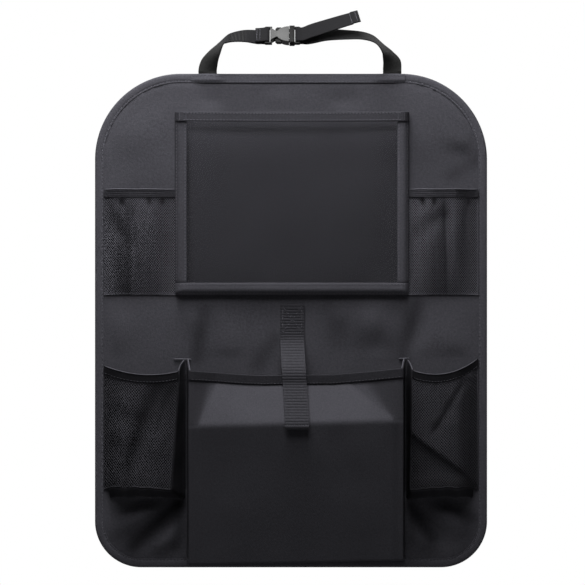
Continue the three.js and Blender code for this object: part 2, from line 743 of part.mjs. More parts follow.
function buildBuckle() {
  const outline = new THREE.Shape();
  outline.moveTo(socketBodyStart, -socketEndHalf);
  outline.quadraticCurveTo(socketWaistX, -2 * socketWaistHalf + socketEndHalf, socketWaistX, -socketWaistHalf);
  outline.quadraticCurveTo(socketWaistX + socketFlare, -socketMouthHalf, socketMouth, -socketMouthHalf);
  outline.lineTo(socketMouth, socketMouthHalf);
  outline.quadraticCurveTo(socketWaistX + socketFlare, socketMouthHalf, socketWaistX, socketWaistHalf);
  outline.quadraticCurveTo(socketWaistX, 2 * socketWaistHalf - socketEndHalf, socketBodyStart, socketEndHalf);
  const body = bucklePlate(outline, socketThickness, buckleBevel);
  const cavity = bucklePlate(
    rectangle(socketCavityEnd, socketMouth + 1, socketCavityHalf),
    socketThickness - 2 * socketWall,
    0,
  );
  const socketShoulder = bucklePlate(
    rectangle(socketBodyStart, socketBodyStart + railWidth, strapWidth / 2 + webClearance + railWidth),
    barThickness,
    0,
  );
  const socketBar = webFrame(socketEnd, socketBodyStart).add(socketShoulder);
  add("buckle_socket", leanBack(body.subtract(cavity).add(socketBar)), greyPlastic);

  const start = socketMouth + seamGap;
  const plugBar = webFrame(plugEnd - barLength, plugBodyEnd);
  const collar = bucklePlate(
    rectangle(start, plugBodyEnd, strapWidth / 2 + webClearance + railWidth),
    socketThickness,
    buckleBevel,
  );
  const depth = socketThickness - 2 * socketWall - 2 * prongClearance;
  const rootHalf = socketCavityHalf - prongClearance;
  const tongue = bucklePlate(rectangle(tongueTip, start + buckleBevel, tongueHalf), depth, 0);
  const prong = (side) => {
    const shape = new THREE.Shape();
    shape.moveTo(start + buckleBevel, side * rootHalf);
    shape.lineTo(start + buckleBevel, side * (rootHalf - prongWidth));
    shape.lineTo(prongTip + prongBarb / 2, side * (rootHalf - prongWidth));
    shape.lineTo(prongTip, side * rootHalf);
    shape.lineTo(prongTip + prongBarb, side * prongPadHalf);
    shape.lineTo(prongPadStart, side * prongPadHalf);
    shape.lineTo(prongPadStart, side * rootHalf);
    return bucklePlate(shape, depth, 0);
  };
  const plug = plugBar.add(collar).add(tongue).add(prong(-1)).add(prong(1));
  add("buckle_plug", leanBack(plug), blackPlastic);
}

buildPanel();
buildTopBand();
buildWindow();
buildUpperPocket(-1);
buildUpperPocket(1);
buildLowerPocket(-1);
buildLowerPocket(1);
buildBoxPocket();
buildClosure();
buildStraps();
buildBuckle();

export default organizer;
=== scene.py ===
import math

import bmesh
import bpy
from mathutils import Matrix, Vector, noise


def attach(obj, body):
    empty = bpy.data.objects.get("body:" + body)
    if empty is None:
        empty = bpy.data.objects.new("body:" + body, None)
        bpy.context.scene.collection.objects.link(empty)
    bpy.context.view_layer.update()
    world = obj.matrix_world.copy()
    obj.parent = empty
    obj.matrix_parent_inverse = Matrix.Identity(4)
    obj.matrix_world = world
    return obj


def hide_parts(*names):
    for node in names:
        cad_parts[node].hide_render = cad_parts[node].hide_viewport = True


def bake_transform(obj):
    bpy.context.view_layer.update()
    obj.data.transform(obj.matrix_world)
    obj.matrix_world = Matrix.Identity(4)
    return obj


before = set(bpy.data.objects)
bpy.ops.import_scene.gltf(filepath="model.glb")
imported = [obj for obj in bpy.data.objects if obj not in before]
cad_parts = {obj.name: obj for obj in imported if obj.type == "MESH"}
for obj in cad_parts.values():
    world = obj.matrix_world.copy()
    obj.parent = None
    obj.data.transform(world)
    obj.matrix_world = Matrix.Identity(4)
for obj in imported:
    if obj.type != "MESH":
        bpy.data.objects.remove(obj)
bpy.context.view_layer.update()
scene = bpy.context.scene
print("frame loaded, nodes:", len(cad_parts))

mm = 0.001  # the sizes below are millimetres, as in the part's source
seam = 0.3  # clearance between two sewn pieces
skin = 4.3  # depth of the panel's face, where sewn pieces start
sideSeam = 202.7  # where the side pockets meet the binding
sides = {-1: "Left", 1: "Right"}


# Small helpers

def mix(a, b, t):
    return a + (b - a) * t


def hold(t):
    return min(1.0, max(0.0, t))


def ease(t):
    t = hold(t)
    return t * t * (3 - 2 * t)


def rim(t, rate):  # 0 at both ends of a unit length, 1 further in
    return ease(rate * min(t, 1 - t))


def spanOf(part, t):  # a place between the left and the right of a part
    return mix(part["left"], part["right"], t)


def counted(side, t):  # a share counted from the outer edge on both sides
    return t if side < 0 else 1 - t


def bell(distance, width):
    return math.exp(-((distance / width) ** 2))


def arch(t):
    return math.sin(math.pi * hold(t))


def at(x, depth, z):  # depth is counted forward from the rear face
    return Vector((x, -depth, z)) * mm


def rough(x, z, size, seed=0.0):
    return noise.noise(Vector((x / size, z / size, seed)))


def awayFrom(x, z, start, end):  # distance to a line, and how far along it
    run = Vector(end) - Vector(start)
    spot = Vector((x, z)) - Vector(start)
    t = hold(spot.dot(run) / run.length_squared)
    return (spot - run * t).length, t


def runLength(line, steps=48):
    spots = [line(i / steps) for i in range(steps + 1)]
    return sum((b - a).length for a, b in zip(spots, spots[1:]))


def normalOf(surface, u, v):
    reach = 0.002
    alongU = surface(min(1, u + reach), v) - surface(max(0, u - reach), v)
    alongV = surface(u, min(1, v + reach)) - surface(u, max(0, v - reach))
    return alongU.cross(alongV).normalized()


# Mesh helpers

def layOn(bm, surface):  # a flat unit sheet goes onto a surface, with its cut size as UV
    wide = runLength(lambda t: surface(t, 0.5))
    tall = runLength(lambda t: surface(0.5, t))
    uvs = bm.loops.layers.uv.verify()
    for face in bm.faces:
        for loop in face.loops:
            spot = loop.vert.co
            loop[uvs].uv = ((spot.x + 0.5) * wide, (spot.y + 0.5) * tall)
    for vert in bm.verts:
        vert.co = surface(hold(vert.co.x + 0.5), hold(vert.co.y + 0.5))


def paintShade(bm, shade):  # keeps the share of painted shade, the cloth's darker tone, at each place of a unit sheet
    shadeShare = bm.verts.layers.float.new("shadeShare")
    for vert in bm.verts:
        vert[shadeShare] = hold(shade(vert.co.x + 0.5, vert.co.y + 0.5))


def gridOn(surface, columns, rows, closed=False, shade=None):
    bm = bmesh.new()
    bmesh.ops.create_grid(bm, x_segments=columns, y_segments=rows, size=0.5)
    if shade:
        paintShade(bm, shade)
    layOn(bm, surface)
    if closed:
        bmesh.ops.remove_doubles(bm, verts=bm.verts, dist=0.02 * mm)
    return bm


def intoScene(name, data):
    item = bpy.data.objects.new(name, data)
    scene.collection.objects.link(item)
    return item


def pieceFrom(bm, name, finish, slot, node=None, body="organizer"):
    mesh = bpy.data.meshes.new(name)
    bm.to_mesh(mesh)
    bm.free()
    mesh.materials.append(finishes[finish])
    mesh.shade_smooth()
    piece = intoScene(name, mesh)
    if body:
        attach(piece, body)
    if node:
        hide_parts(node)
    return piece


def soften(piece, width, degrees):  # rounds the edges that are sharper than an angle
    soft = piece.modifiers.new("softEdge", "BEVEL")
    soft.width = width * mm
    soft.segments = 2
    soft.limit_method = "ANGLE"
    soft.angle_limit = math.radians(degrees)


def sheetOn(surface, grid, names, wall, edge=0.3, offset=1, body="organizer", **extra):
    # the names are the piece, its finish, its slot and its node
    piece = pieceFrom(gridOn(surface, *grid, **extra), *names, body)
    solid = piece.modifiers.new("wall", "SOLIDIFY")
    solid.thickness = wall * mm
    solid.offset = offset
    solid.use_quality_normals = True
    if edge:
        soften(piece, edge, 55)
    return piece


def cutOff(bm, place, outward, near):  # removes what lies outside a plane
    everything = bm.verts[:] + bm.edges[:] + bm.faces[:]
    bmesh.ops.bisect_plane(bm, geom=everything, dist=near, plane_co=place, plane_no=outward, clear_outer=True)


def pour(part, bm):  # adds a part to a bigger mesh
    mesh = bpy.data.meshes.new("part")
    part.to_mesh(mesh)
    part.free()
    bm.from_mesh(mesh)
    bpy.data.meshes.remove(mesh)


thread = {"pitch": 3.6, "length": 2.7, "width": 0.6, "height": 0.45}
closePitch = 2.4  # of the stitches on webbing


def sewOn(bm, surface, start, end, lift, pitch=None):  # one row of stitches on a surface
    def line(t):
        return surface(mix(start[0], end[0], t), mix(start[1], end[1], t))

    pitch = pitch or thread["pitch"]
    count = max(2, round(runLength(line, 200) / (pitch * mm)))
    long = thread["length"] * pitch / thread["pitch"]
    size = Matrix.Diagonal((long * mm, thread["width"] * mm, thread["height"] * mm, 1))
    reach = 0.3 / count
    batch = bmesh.new()
    for i in range(count):
        t = (i + 0.5) / count
        outward = normalOf(surface, mix(start[0], end[0], t), mix(start[1], end[1], t))
        along = (line(t + reach) - line(t - reach)).normalized()
        side = outward.cross(along).normalized()
        turn = Matrix((along, side, outward)).transposed().to_4x4()
        spot = Matrix.Translation(line(t) + outward * lift * mm)
        bmesh.ops.create_uvsphere(batch, u_segments=6, v_segments=4, radius=0.5, matrix=spot @ turn @ size)
        if len(batch.verts) > 500 or i == count - 1:
            pour(batch, bm)
            batch = bmesh.new()
    batch.free()


def stitchPiece(name, slot, rows, finish="sewingThread", body="organizer"):  # rows as sewOn has them
    bm = bmesh.new()
    for row in rows:
        sewOn(bm, *row)
    return pieceFrom(bm, name, finish, slot, body=body)


def cordOn(bm, line, wide, tall, outward, along, around=8):  # a rounded tape or bar along a line
    def ring(u, v):
        ahead = (line(min(1, v + 0.01)) - line(max(0, v - 0.01))).normalized()
        side = outward.cross(ahead).normalized()
        top = ahead.cross(side)
        angle = 2 * math.pi * u
        closing = math.sqrt(hold(1 - (2 * v - 1) ** 16))
        return line(v) + (side * wide * math.cos(angle) + top * tall * math.sin(angle)) * 0.5 * mm * closing

    pour(gridOn(ring, around, along, closed=True), bm)


# Shader helpers

def feed(tree, node, inputs):  # each input gets a link or a value
    for key, value in inputs.items():
        if isinstance(value, bpy.types.NodeSocket):
            tree.links.new(value, node.inputs[key])
        else:
            node.inputs[key].default_value = value
    return node.outputs


def put(tree, kind, inputs=None, **settings):
    node = tree.nodes.new("ShaderNode" + kind)
    for key, value in settings.items():
        setattr(node, key, value)
    return feed(tree, node, inputs or {})


def calc(tree, operation, a, b=0.0, c=0.0):
    return put(tree, "Math", {0: a, 1: b, 2: c}, operation=operation)[0]


def tint(tree, share, low, high):  # a colour between two others
    return put(tree, "Mix", {"Factor": share, 6: low, 7: high}, data_type="RGBA")[2]


def bumps(tree, strength, distance, height):
    return put(tree, "Bump", {"Strength": strength, "Distance": distance * mm, "Height": height})[0]


def newGroup(name, inputs, outputs):
    tree = bpy.data.node_groups.new(name, "ShaderNodeTree")
    for way, sockets in (("INPUT", inputs), ("OUTPUT", outputs)):
        for label, kind in sockets.items():
            tree.interface.new_socket(name=label, in_out=way, socket_type="NodeSocket" + kind)
    return tree, tree.nodes.new("NodeGroupInput").outputs, tree.nodes.new("NodeGroupOutput").inputs


def makeWeave():  # crossing yarns, with slubs along both ways
    ways = {"Vector": "Vector", "Across": "Float", "Along": "Float"}
    tree, given, result = newGroup("weave", ways, {"Height": "Float", "Shade": "Float"})
    spot = put(tree, "SeparateXYZ", {0: given["Vector"]})
    waves = []
    for axis, pitch in enumerate(("Across", "Along")):
        turns = calc(tree, "MULTIPLY", calc(tree, "DIVIDE", spot[axis], given[pitch]), 2 * math.pi)
        waves.append(calc(tree, "SINE", turns))
    yarns = calc(tree, "MULTIPLY_ADD", calc(tree, "MULTIPLY", *waves), 0.5, 0.5)
    slubs = []
    for stretch in ((0.45, 0.9, 0.8), (0.9, 0.45, 0.8)):
        laid = put(tree, "Mapping", {"Vector": given["Vector"], "Scale": stretch})[0]
        slubs.append(put(tree, "TexNoise", {"Vector": laid, "Scale": 1.0, "Detail": 2.0})[0])
    both = calc(tree, "MULTIPLY_ADD", calc(tree, "ADD", *slubs), 1.6, -1.1)
    shade = put(tree, "Clamp", {0: both})[0]
    height = calc(tree, "ADD", calc(tree, "MULTIPLY", yarns, 0.65), calc(tree, "MULTIPLY", shade, 0.35))
    tree.links.new(height, result["Height"])
    tree.links.new(shade, result["Shade"])
    return tree


def makeMottle():  # slow changes of tone, as dye and handling leave them
    tree, given, result = newGroup("mottle", {"Vector": "Vector", "Size": "Float"}, {"Tone": "Float"})
    scale = calc(tree, "DIVIDE", 1.0, given["Size"])
    cloud = put(tree, "TexNoise", {"Vector": given["Vector"], "Scale": scale, "Detail": 3.0})[0]
    tone = calc(tree, "MULTIPLY_ADD", cloud, 1.5, -0.25)
    tree.links.new(put(tree, "Clamp", {0: tone})[0], result["Tone"])
    return tree


weave = makeWeave()
mottle = makeMottle()


def mottled(tree, place, size):
    return put(tree, "Group", {"Vector": place, "Size": size * mm}, node_tree=mottle)["Tone"]


def newMaterial(name):
    material = bpy.data.materials.new(name)
    material.use_nodes = True
    tree = material.node_tree
    return material, tree, tree.nodes["Principled BSDF"]


def grey(level, cool=0.0):
    return (level, level * (1 - 0.12 * cool), level * (1 + cool), 1)


plainLook = dict(  # pitches, relief and patches are in millimetres
    across=0.9, along=0.9, roughness=0.9, bump=0.5, relief=0.25, spread=0.22, cloud=0.3, patch=60, grain=0.8,
    fineness=0.35, gloss=0.02, cool=0.14,
)


def clothMaterial(name, own):
    look = {**plainLook, **own}
    material, tree, shader = newMaterial(name)
    coords = put(tree, "TexCoord")
    inMm = put(tree, "Mapping", {"Vector": coords["UV"], "Scale": (1 / mm, 1 / mm, 1)})[0]
    pitches = {"Across": look["across"], "Along": look["along"]}
    yarn = put(tree, "Group", {"Vector": inMm, **pitches}, node_tree=weave)
    clouded = calc(tree, "MULTIPLY", mottled(tree, coords["Object"], look["patch"]), look["cloud"])
    fine = put(tree, "TexNoise", {"Vector": inMm, "Scale": look["fineness"], "Detail": 3.0})[0]
    grain = calc(tree, "MULTIPLY_ADD", fine, look["grain"], -0.5 * look["grain"])
    tone = calc(tree, "MULTIPLY_ADD", yarn["Shade"], 1 - look["cloud"], calc(tree, "ADD", clouded, grain))
    low, high = (grey(look["level"] * (1 + way * look["spread"]), look["cool"]) for way in (-1, 1))
    color = tint(tree, tone, low, high)
    if "shadeLevel" in look:  # painted shade: the cloth is darker by its shade share, in folds and inside pockets
        shadeShare = put(tree, "Attribute", attribute_name="shadeShare")["Fac"]
        color = tint(tree, shadeShare, color, grey(look["shadeLevel"], plainLook["cool"]))
    height = calc(tree, "MULTIPLY_ADD", fine, 1.2, yarn["Height"])
    feed(tree, shader, {
        "Base Color": color,
        "Roughness": calc(tree, "MULTIPLY_ADD", yarn["Height"], -0.12, look["roughness"]),
        "Specular IOR Level": look["gloss"],
        "Normal": bumps(tree, look["bump"], look["relief"], height),
    })
    return material


yarnLook = dict(across=0.5, along=0.5, roughness=0.7, bump=0.3, gloss=0.1)
webbingLook = dict(roughness=0.8, bump=0.8)
# each cloth may give the tone of its painted shade, which the shade share of its sheets mixes in
looks = {
    "panelCloth": dict(level=0.076, roughness=0.95, bump=0.6, cloud=0.6, shadeLevel=0.012, grain=1.2),
    "boxCloth": dict(level=0.074, roughness=0.95, bump=0.4, cloud=0.5, shadeLevel=0.012, grain=0.6),
    "bindingTape": dict(level=0.078, across=0.8, along=1.1),
    # the top band is lighter than the binding: partly the tape's own tone, partly painted light against the
    # strap's shadow
    "topBandTape": dict(level=0.1, along=1.2),
    # the window's tape has a tone per side: the right and bottom tapes are lighter, painted light where the
    # lamps leave their slopes in shade, and the top strip is darker
    "borderTape": dict(level=0.066, along=1.2),
    "borderTapeRight": dict(level=0.08, along=1.2),
    "borderTapeBottom": dict(level=0.092, along=1.2),
    "stripTape": dict(level=0.053, along=1.2),
    "hemElastic": dict(level=0.013, across=1.0, along=1.4, roughness=0.85, bump=0.6),
    "upperElastic": dict(level=0.038, across=3.0, along=1.0, roughness=0.8, bump=0.6),
    "hemCloth": dict(level=0.033),
    # darker cloth for the lower pockets' gussets: painted shade where they sit in shadow
    "lowerGussetInShade": dict(level=0.028, roughness=0.95, shadeLevel=0.008),
    "edgeTape": dict(level=0.1, across=0.8, along=0.8, roughness=0.8, bump=0.4),
    # darker cloth for the box pocket's gussets: painted shade in the channels beside the pocket
    "boxGussetInShade": dict(level=0.03, roughness=0.95),
    # the upper nets' yarn is much lighter than the black net: painted highlight, the glints on its yarn
    "netYarn": dict(level=0.15, shadeLevel=0.03, **yarnLook),
    "netYarnLower": dict(level=0.066, shadeLevel=0.022, **yarnLook),
    "webbing": dict(level=0.02, across=1.6, along=1.2, gloss=0.06, cool=0.0, shadeLevel=0.007, **webbingLook),
    "closureWebbing": dict(level=0.044, across=1.3, along=1.3, gloss=0.05, **webbingLook),
    # the thread is lighter than the dark thread of the seams: painted sheen, so that the stitches show
    "sewingThread": dict(level=0.14, across=0.3, along=0.3, roughness=0.6, bump=0.3, gloss=0.06),
    "touchFastener": dict(level=0.012, across=0.8, along=0.8, roughness=0.95, bump=1.0, relief=0.6),
}
finishes = {name: clothMaterial(name, look) for name, look in looks.items()}


def plasticMaterial(name, level, gloss, grain):
    material, tree, shader = newMaterial(name)
    place = put(tree, "TexCoord")["Object"]
    tone = mottled(tree, place, 6)
    fine = put(tree, "TexNoise", {"Vector": place, "Scale": 2500.0})[0]
    feed(tree, shader, {
        "Base Color": tint(tree, tone, grey(level * 0.92), grey(level * 1.08)),
        "Roughness": calc(tree, "MULTIPLY_ADD", tone, 0.1, 0.45),
        "Specular IOR Level": gloss,
        "Normal": bumps(tree, grain, 0.05, fine),
    })
    return material


plastics = {  # level, gloss and grain
    "greyPlastic": (0.07, 0.12, 0.1),
    "framePlastic": (0.014, 0.04, 0.1),
    "blackPlastic": (0.009, 0.04, 0.05),
}
for name, numbers in plastics.items():
    finishes[name] = plasticMaterial(name, *numbers)


vinyl = {
    "clear": (0.96, 0.96, 0.965, 1),
    "sheen": 0.9,
    "ior": 1.12,
    "roughness": 0.2,
    "change": 0.06,
    "patch": 40,
}


def filmMaterial():  # clear vinyl: what lies behind it shows, with a faint reflection over it
    material, tree, shader = newMaterial("clearFilm")
    tone = mottled(tree, put(tree, "TexCoord")["Object"], vinyl["patch"])
    roughness = calc(tree, "MULTIPLY_ADD", tone, vinyl["change"], vinyl["roughness"])
    feed(tree, shader, {"Base Color": grey(vinyl["sheen"]), "Metallic": 1.0, "Roughness": roughness})
    clear = put(tree, "BsdfTransparent", {"Color": vinyl["clear"]})[0]
    sheen = put(tree, "Fresnel", {"IOR": vinyl["ior"]})[0]
    both = put(tree, "MixShader", {0: sheen, 1: clear, 2: shader.outputs[0]})[0]
    tree.links.new(both, tree.nodes["Material Output"].inputs["Surface"])
    return material


finishes["clearFilm"] = filmMaterial()
print("materials made:", len(bpy.data.materials))


# Camera, lights and stage

stage = {"height": -1.2, "half": 9.0, "backEdge": 8.6, "tone": 0.62, "paleness": 0.6, "skyLight": 0.03}
camera = {"x": 0.0016, "z": 0.0304, "distance": 3.2, "sensor": 36.0, "lens": 181.5}
cameraData = bpy.data.cameras.new("camera")
cameraData.sensor_width = camera["sensor"]
cameraData.lens = camera["lens"]
cameraData.clip_end = 50
cameraObject = intoScene("camera", cameraData)
cameraObject.location = (camera["x"], -camera["distance"], camera["z"])
cameraObject.rotation_euler = (math.pi / 2, 0, 0)
scene.camera = cameraObject


def areaLight(name, place, aim, size, power):
    data = bpy.data.lights.new(name, "AREA")
    data.shape = "RECTANGLE"
    data.size, data.size_y = size
    data.energy = power
    lamp = intoScene(name, data)
    lamp.location = place
    lamp.rotation_mode = "QUATERNION"
    lamp.rotation_quaternion = (Vector(aim) - Vector(place)).to_track_quat("-Z", "Y")
    lamp.visible_camera = False


areaLight("overheadLight", (-0.12, -0.27, 1.2), (0.0, -0.02, 0.0), (0.6, 0.3), 17.2)
areaLight("frontLight", (-0.14, -0.5, 0.78), (0.0, -0.02, 0.0), (0.7, 0.3), 5.4)
for side, name in sides.items():  # soft fill from behind, which doesn't reach the front
    areaLight("rearLight" + name, (1.0 * side, 0.75, 0.45), (0.0, 0.0, 0.0), (0.8, 0.8), 8.0)

world = bpy.data.worlds.new("studio")
scene.world = world
world.use_nodes = True
air = world.node_tree
background = air.nodes["Background"]
background.inputs["Color"].default_value = (1, 1, 1, 1)


def seenDirectly(tree):  # 1 for what the camera sees, also in gloss and through the film, and 0 as light
    rays = put(tree, "LightPath")
    seen = calc(tree, "MAXIMUM", rays["Is Camera Ray"], rays["Is Glossy Ray"])
    seen = calc(tree, "MAXIMUM", seen, rays["Is Transmission Ray"])
    return calc(tree, "MULTIPLY", seen, calc(tree, "LESS_THAN", rays["Diffuse Depth"], 0.5))


strength = calc(air, "MULTIPLY_ADD", seenDirectly(air), 1 - stage["skyLight"], stage["skyLight"])
air.links.new(strength, background.inputs["Strength"])


def buildStage():
    bm = bmesh.new()
    bmesh.ops.create_grid(bm, x_segments=2, y_segments=2, size=1.0)
    for vert in bm.verts:
        back = mix(-stage["half"], stage["backEdge"], (vert.co.y + 1) / 2)
        vert.co = Vector((vert.co.x * stage["half"], back, stage["height"]))
    mesh = bpy.data.meshes.new("floor")
    bm.to_mesh(mesh)
    bm.free()
    floor = intoScene("floor", mesh)
    material, tree, shader = newMaterial("paleFloor")
    feed(tree, shader, {
        "Base Color": grey(stage["tone"]),
        "Roughness": 0.9,
        "Specular IOR Level": 0.0,
        "Emission Color": (1, 1, 1, 1),
        "Emission Strength": calc(tree, "MULTIPLY", seenDirectly(tree), stage["paleness"]),
    })
    mesh.materials.append(material)


buildStage()
scene.view_settings.view_transform = "Standard"
print("stage, lights and camera placed")


# Back panel and binding

panel = {
    "width": 425, "height": 535, "topCorner": 93, "bottomCorner": 50, "thick": 4.0, "tuck": 1.6,
    "rimDepth": 1.0, "rimStart": 10.2, "cell": 5.0, "cornerSteps": 12, "rimRamp": 1.2, "fullness": 1.15,
    "hollow": 2.8,
    "covered": [  # left, right, bottom, top of what is sewn on it
        (-125, 127, 29, 226),
        (-213, -124, 28, 142),
        (126, 213, 28, 142),
        (-213, -121, -193, -41),
        (125, 213, -193, -41),
        (-114, 124, -262, -41),
        (-108, 124, 255, 268),
        (-13, 20, -60, 18),
    ],
    "pocketShade": [  # left, right, bottom, top and share of painted shade inside the mesh pockets
        (-203, -125, 28, 137, 0.8),
        (127, 203, 28, 137, 0.9),
        (-203, -116, -182, -60, 1.0),
        (126, 203, -182, -60, 0.85),
    ],
    "folds": [  # from, to, width, rise
        ((-84, 250), (-86, 222), 13, -1.3),
        ((64, 252), (52, 222), 14, -1.4),
        ((-20, 250), (-10, 232), 16, 0.9),
        ((168, 186), (196, 176), 9, -1.3),
        ((176, 196), (200, 188), 8, 1.2),
        ((-150, 214), (-186, 180), 20, 1.2),
        ((-118, -2), (-88, 4), 18, 1.8),
        ((-84, -22), (-46, -22), 24, 1.2),
        ((38, 10), (64, 6), 15, 1.6),
        ((70, 6), (104, -2), 20, 2.2),
        ((82, -26), (108, -30), 15, -1.4),
        ((142, 12), (128, -30), 10, -2.6),
        ((188, -10), (158, -28), 24, 1.2),
        ((-190, 10), (-184, -30), 16, 1.6),
        ((-118, -198), (-172, -246), 9, -7.0),
        ((-140, -198), (-190, -228), 11, 6.5),
        ((-122, -224), (-152, -254), 10, 5.0),
        ((132, -200), (168, -242), 9, -6.5),
        ((152, -200), (194, -230), 11, 6.0),
        ((132, -228), (160, -252), 10, 4.6),
    ],
    "shaded": [  # from, to, width and share of painted shade, in the folds
        ((-94, 10), (-103, -40), 8, 0.42),
        ((-18, -20), (-36, -46), 10, 0.36),
        ((78, -26), (104, -32), 14, 0.3),
        ((136, 22), (122, -40), 8, 0.42),
        ((44, 12), (52, -22), 13, 0.28),
        ((140, 176), (186, 184), 26, 0.26),
        ((174, 158), (200, 174), 8, 0.25),
        ((-170, 130), (-120, 152), 16, 0.12),
        ((-124, -198), (-172, -246), 8, 0.75),
        ((-126, -244), (-118, -200), 8, 0.5),
        ((130, -202), (152, -236), 8, 0.7),
        ((168, -204), (196, -214), 8, 0.5),
        ((-70, 236), (-40, 252), 18, 0.08),
    ],
}


def cornerOf(z):
    return panel["topCorner"] if z > 0 else panel["bottomCorner"]


def insetOf(x, z):  # how far a place lies inside the panel's outline
    halfWidth, halfHeight, corner = panel["width"] / 2, panel["height"] / 2, cornerOf(z)
    overX = abs(x) - (halfWidth - corner)
    overZ = abs(z) - (halfHeight - corner)
    if overX > 0 and overZ > 0:
        return corner - math.hypot(overX, overZ)
    return min(halfWidth - abs(x), halfHeight - abs(z))


def openness(x, z):  # 0 where something is sewn on the cloth, 1 well away from it
    free = ease((insetOf(x, z) - 10) / 16)
    for left, right, bottom, top in panel["covered"]:
        away = max(left - x, x - right, bottom - z, z - top)
        free = min(free, ease((away - 0.5) / 11))
    return free


def paintedShadeAt(x, z):  # share of painted shade: up to 1 inside a mesh pocket or in a deep fold, 0 on the open cloth
    for left, right, bottom, top, share in panel["pocketShade"]:
        if left < x < right and bottom < z < top:
            return share
    dark = 0
    for start, end, width, share in panel["shaded"]:
        dark += share * bell(awayFrom(x, z, start, end)[0], width)
    return hold(dark)


def pastRim(inset):  # 0 under the binding, where the panel is thinner, and 1 inside it
    return ease((inset - panel["rimStart"] + panel["rimRamp"]) / panel["rimRamp"])


def panelDepth(x, z):
    inset = insetOf(x, z)
    flat = mix(panel["thick"] - panel["rimDepth"], panel["thick"], pastRim(inset))
    relief = 0.5 * rough(x, z, 46) + 0.12 * rough(x, z, 17, 3.0)
    for start, end, width, rise in panel["folds"]:
        away, t = awayFrom(x, z, start, end)
        if away < 3 * width:
            relief += panel["fullness"] * rise * bell(away, width) * (0.35 + 0.65 * arch(t))
    if relief < 0:  # a hollow stays in front of the rear face
        relief = -panel["hollow"] * math.tanh(-relief / panel["hollow"])
    return flat + relief * openness(x, z)


def buildPanel():
    bm = bmesh.new()
    halfWidth, halfHeight = panel["width"] / 2, panel["height"] / 2
    columns = round(panel["width"] / panel["cell"])
    rows = round(panel["height"] / panel["cell"])
    bmesh.ops.create_grid(bm, x_segments=columns, y_segments=rows, size=1.0)
    reach = Matrix.Diagonal((halfWidth - panel["tuck"], halfHeight - panel["tuck"], 1, 1))
    bmesh.ops.transform(bm, matrix=reach, verts=bm.verts)
    for signX in (-1, 1):
        for signZ in (-1, 1):
            corner = cornerOf(signZ)
            centre = Vector((signX * (halfWidth - corner), signZ * (halfHeight - corner), 0))
            for step in range(panel["cornerSteps"]):
                angle = math.radians(90 * (step + 0.5) / panel["cornerSteps"])
                outward = Vector((signX * math.cos(angle), signZ * math.sin(angle), 0))
                cutOff(bm, centre + outward * (corner - panel["tuck"]), outward, 0.01)
    uvs = bm.loops.layers.uv.verify()
    # painted shade: each place of the panel's front gets its share of the darker tone
    shadeShare = bm.verts.layers.float.new("shadeShare")
    for vert in bm.verts:
        vert[shadeShare] = paintedShadeAt(vert.co.x, vert.co.y)
    for face in bm.faces:
        for loop in face.loops:
            loop[uvs].uv = (loop.vert.co.x * mm, loop.vert.co.y * mm)
    raised = bmesh.ops.extrude_face_region(bm, geom=bm.faces[:], use_keep_orig=True)
    front = [item for item in raised["geom"] if isinstance(item, bmesh.types.BMVert)]
    rear = set(bm.verts) - set(front)
    for vert in rear:
        vert[shadeShare] = 0.0
    for vert in front:
        x, z = vert.co.x, vert.co.y
        vert.co = at(x, panelDepth(x, z), z)
    for vert in rear:
        x, z = vert.co.x, vert.co.y
        tucked = panel["rimDepth"] * (1 - pastRim(insetOf(x, z)))
        vert.co = at(x, tucked + 0.02, z)
    bmesh.ops.recalc_face_normals(bm, faces=bm.faces)
    piece = pieceFrom(bm, "panelCloth", "panelCloth", "panel_cloth", "back_panel")


binding = {
    "section": [  # inset from the outline and depth, from the rear round to the front
        (9.5, 0.1), (7.8, 0.0), (5, 0.0), (1.5, 0.05), (0.4, 0.5), (0, 1.3), (0, 2.7), (0.4, 3.5),
        (1.4, 4.0), (3.2, 4.25), (5.6, 4.3), (7.1, 4.2), (7.9, 3.8), (8.6, 4.15), (9.5, 4.2),
    ],
    "seamRows": (1, 12),
    "pucker": 7.2, "tape": 0.7, "columns": 1000,
}


def outlineLegs():  # arcs and straights of the panel's outline, starting at the lower right
    halfWidth, halfHeight = panel["width"] / 2, panel["height"] / 2
    low, high = panel["bottomCorner"], panel["topCorner"]
    arcs = [
        (halfWidth - low, -halfHeight + low, low, -90),
        (halfWidth - high, halfHeight - high, high, 0),
        (-halfWidth + high, halfHeight - high, high, 90),
        (-halfWidth + low, -halfHeight + low, low, 180),
    ]
    legs = []
    for index, arc in enumerate(arcs):
        following = arcs[(index + 1) % len(arcs)]
        start = Vector(arc[:2])
        end = Vector(following[:2])
        legs.append(("arc", arc, arc, 0.5 * math.pi * arc[2]))
        turn = math.radians(arc[3] + 90)
        outward = Vector((math.cos(turn), math.sin(turn)))
        straight = end + outward * following[2] - start - outward * arc[2]
        legs.append(("line", arc, following, straight.length))
    return legs


legs = outlineLegs()
outlineLength = sum(leg[3] for leg in legs)


def outlineAt(t, inset):
    travelled = hold(t) * outlineLength
    for kind, arc, following, length in legs:
        if travelled <= length or (kind, arc) == (legs[-1][0], legs[-1][1]):
            break
        travelled -= length
    share = hold(travelled / length)
    angle = math.radians(arc[3] + 90 * (share if kind == "arc" else 1))
    outward = Vector((math.cos(angle), math.sin(angle)))
    start = Vector(arc[:2]) + outward * (arc[2] - inset)
    if kind == "arc":
        return start
    end = Vector(following[:2]) + outward * (following[2] - inset)
    return start.lerp(end, share)


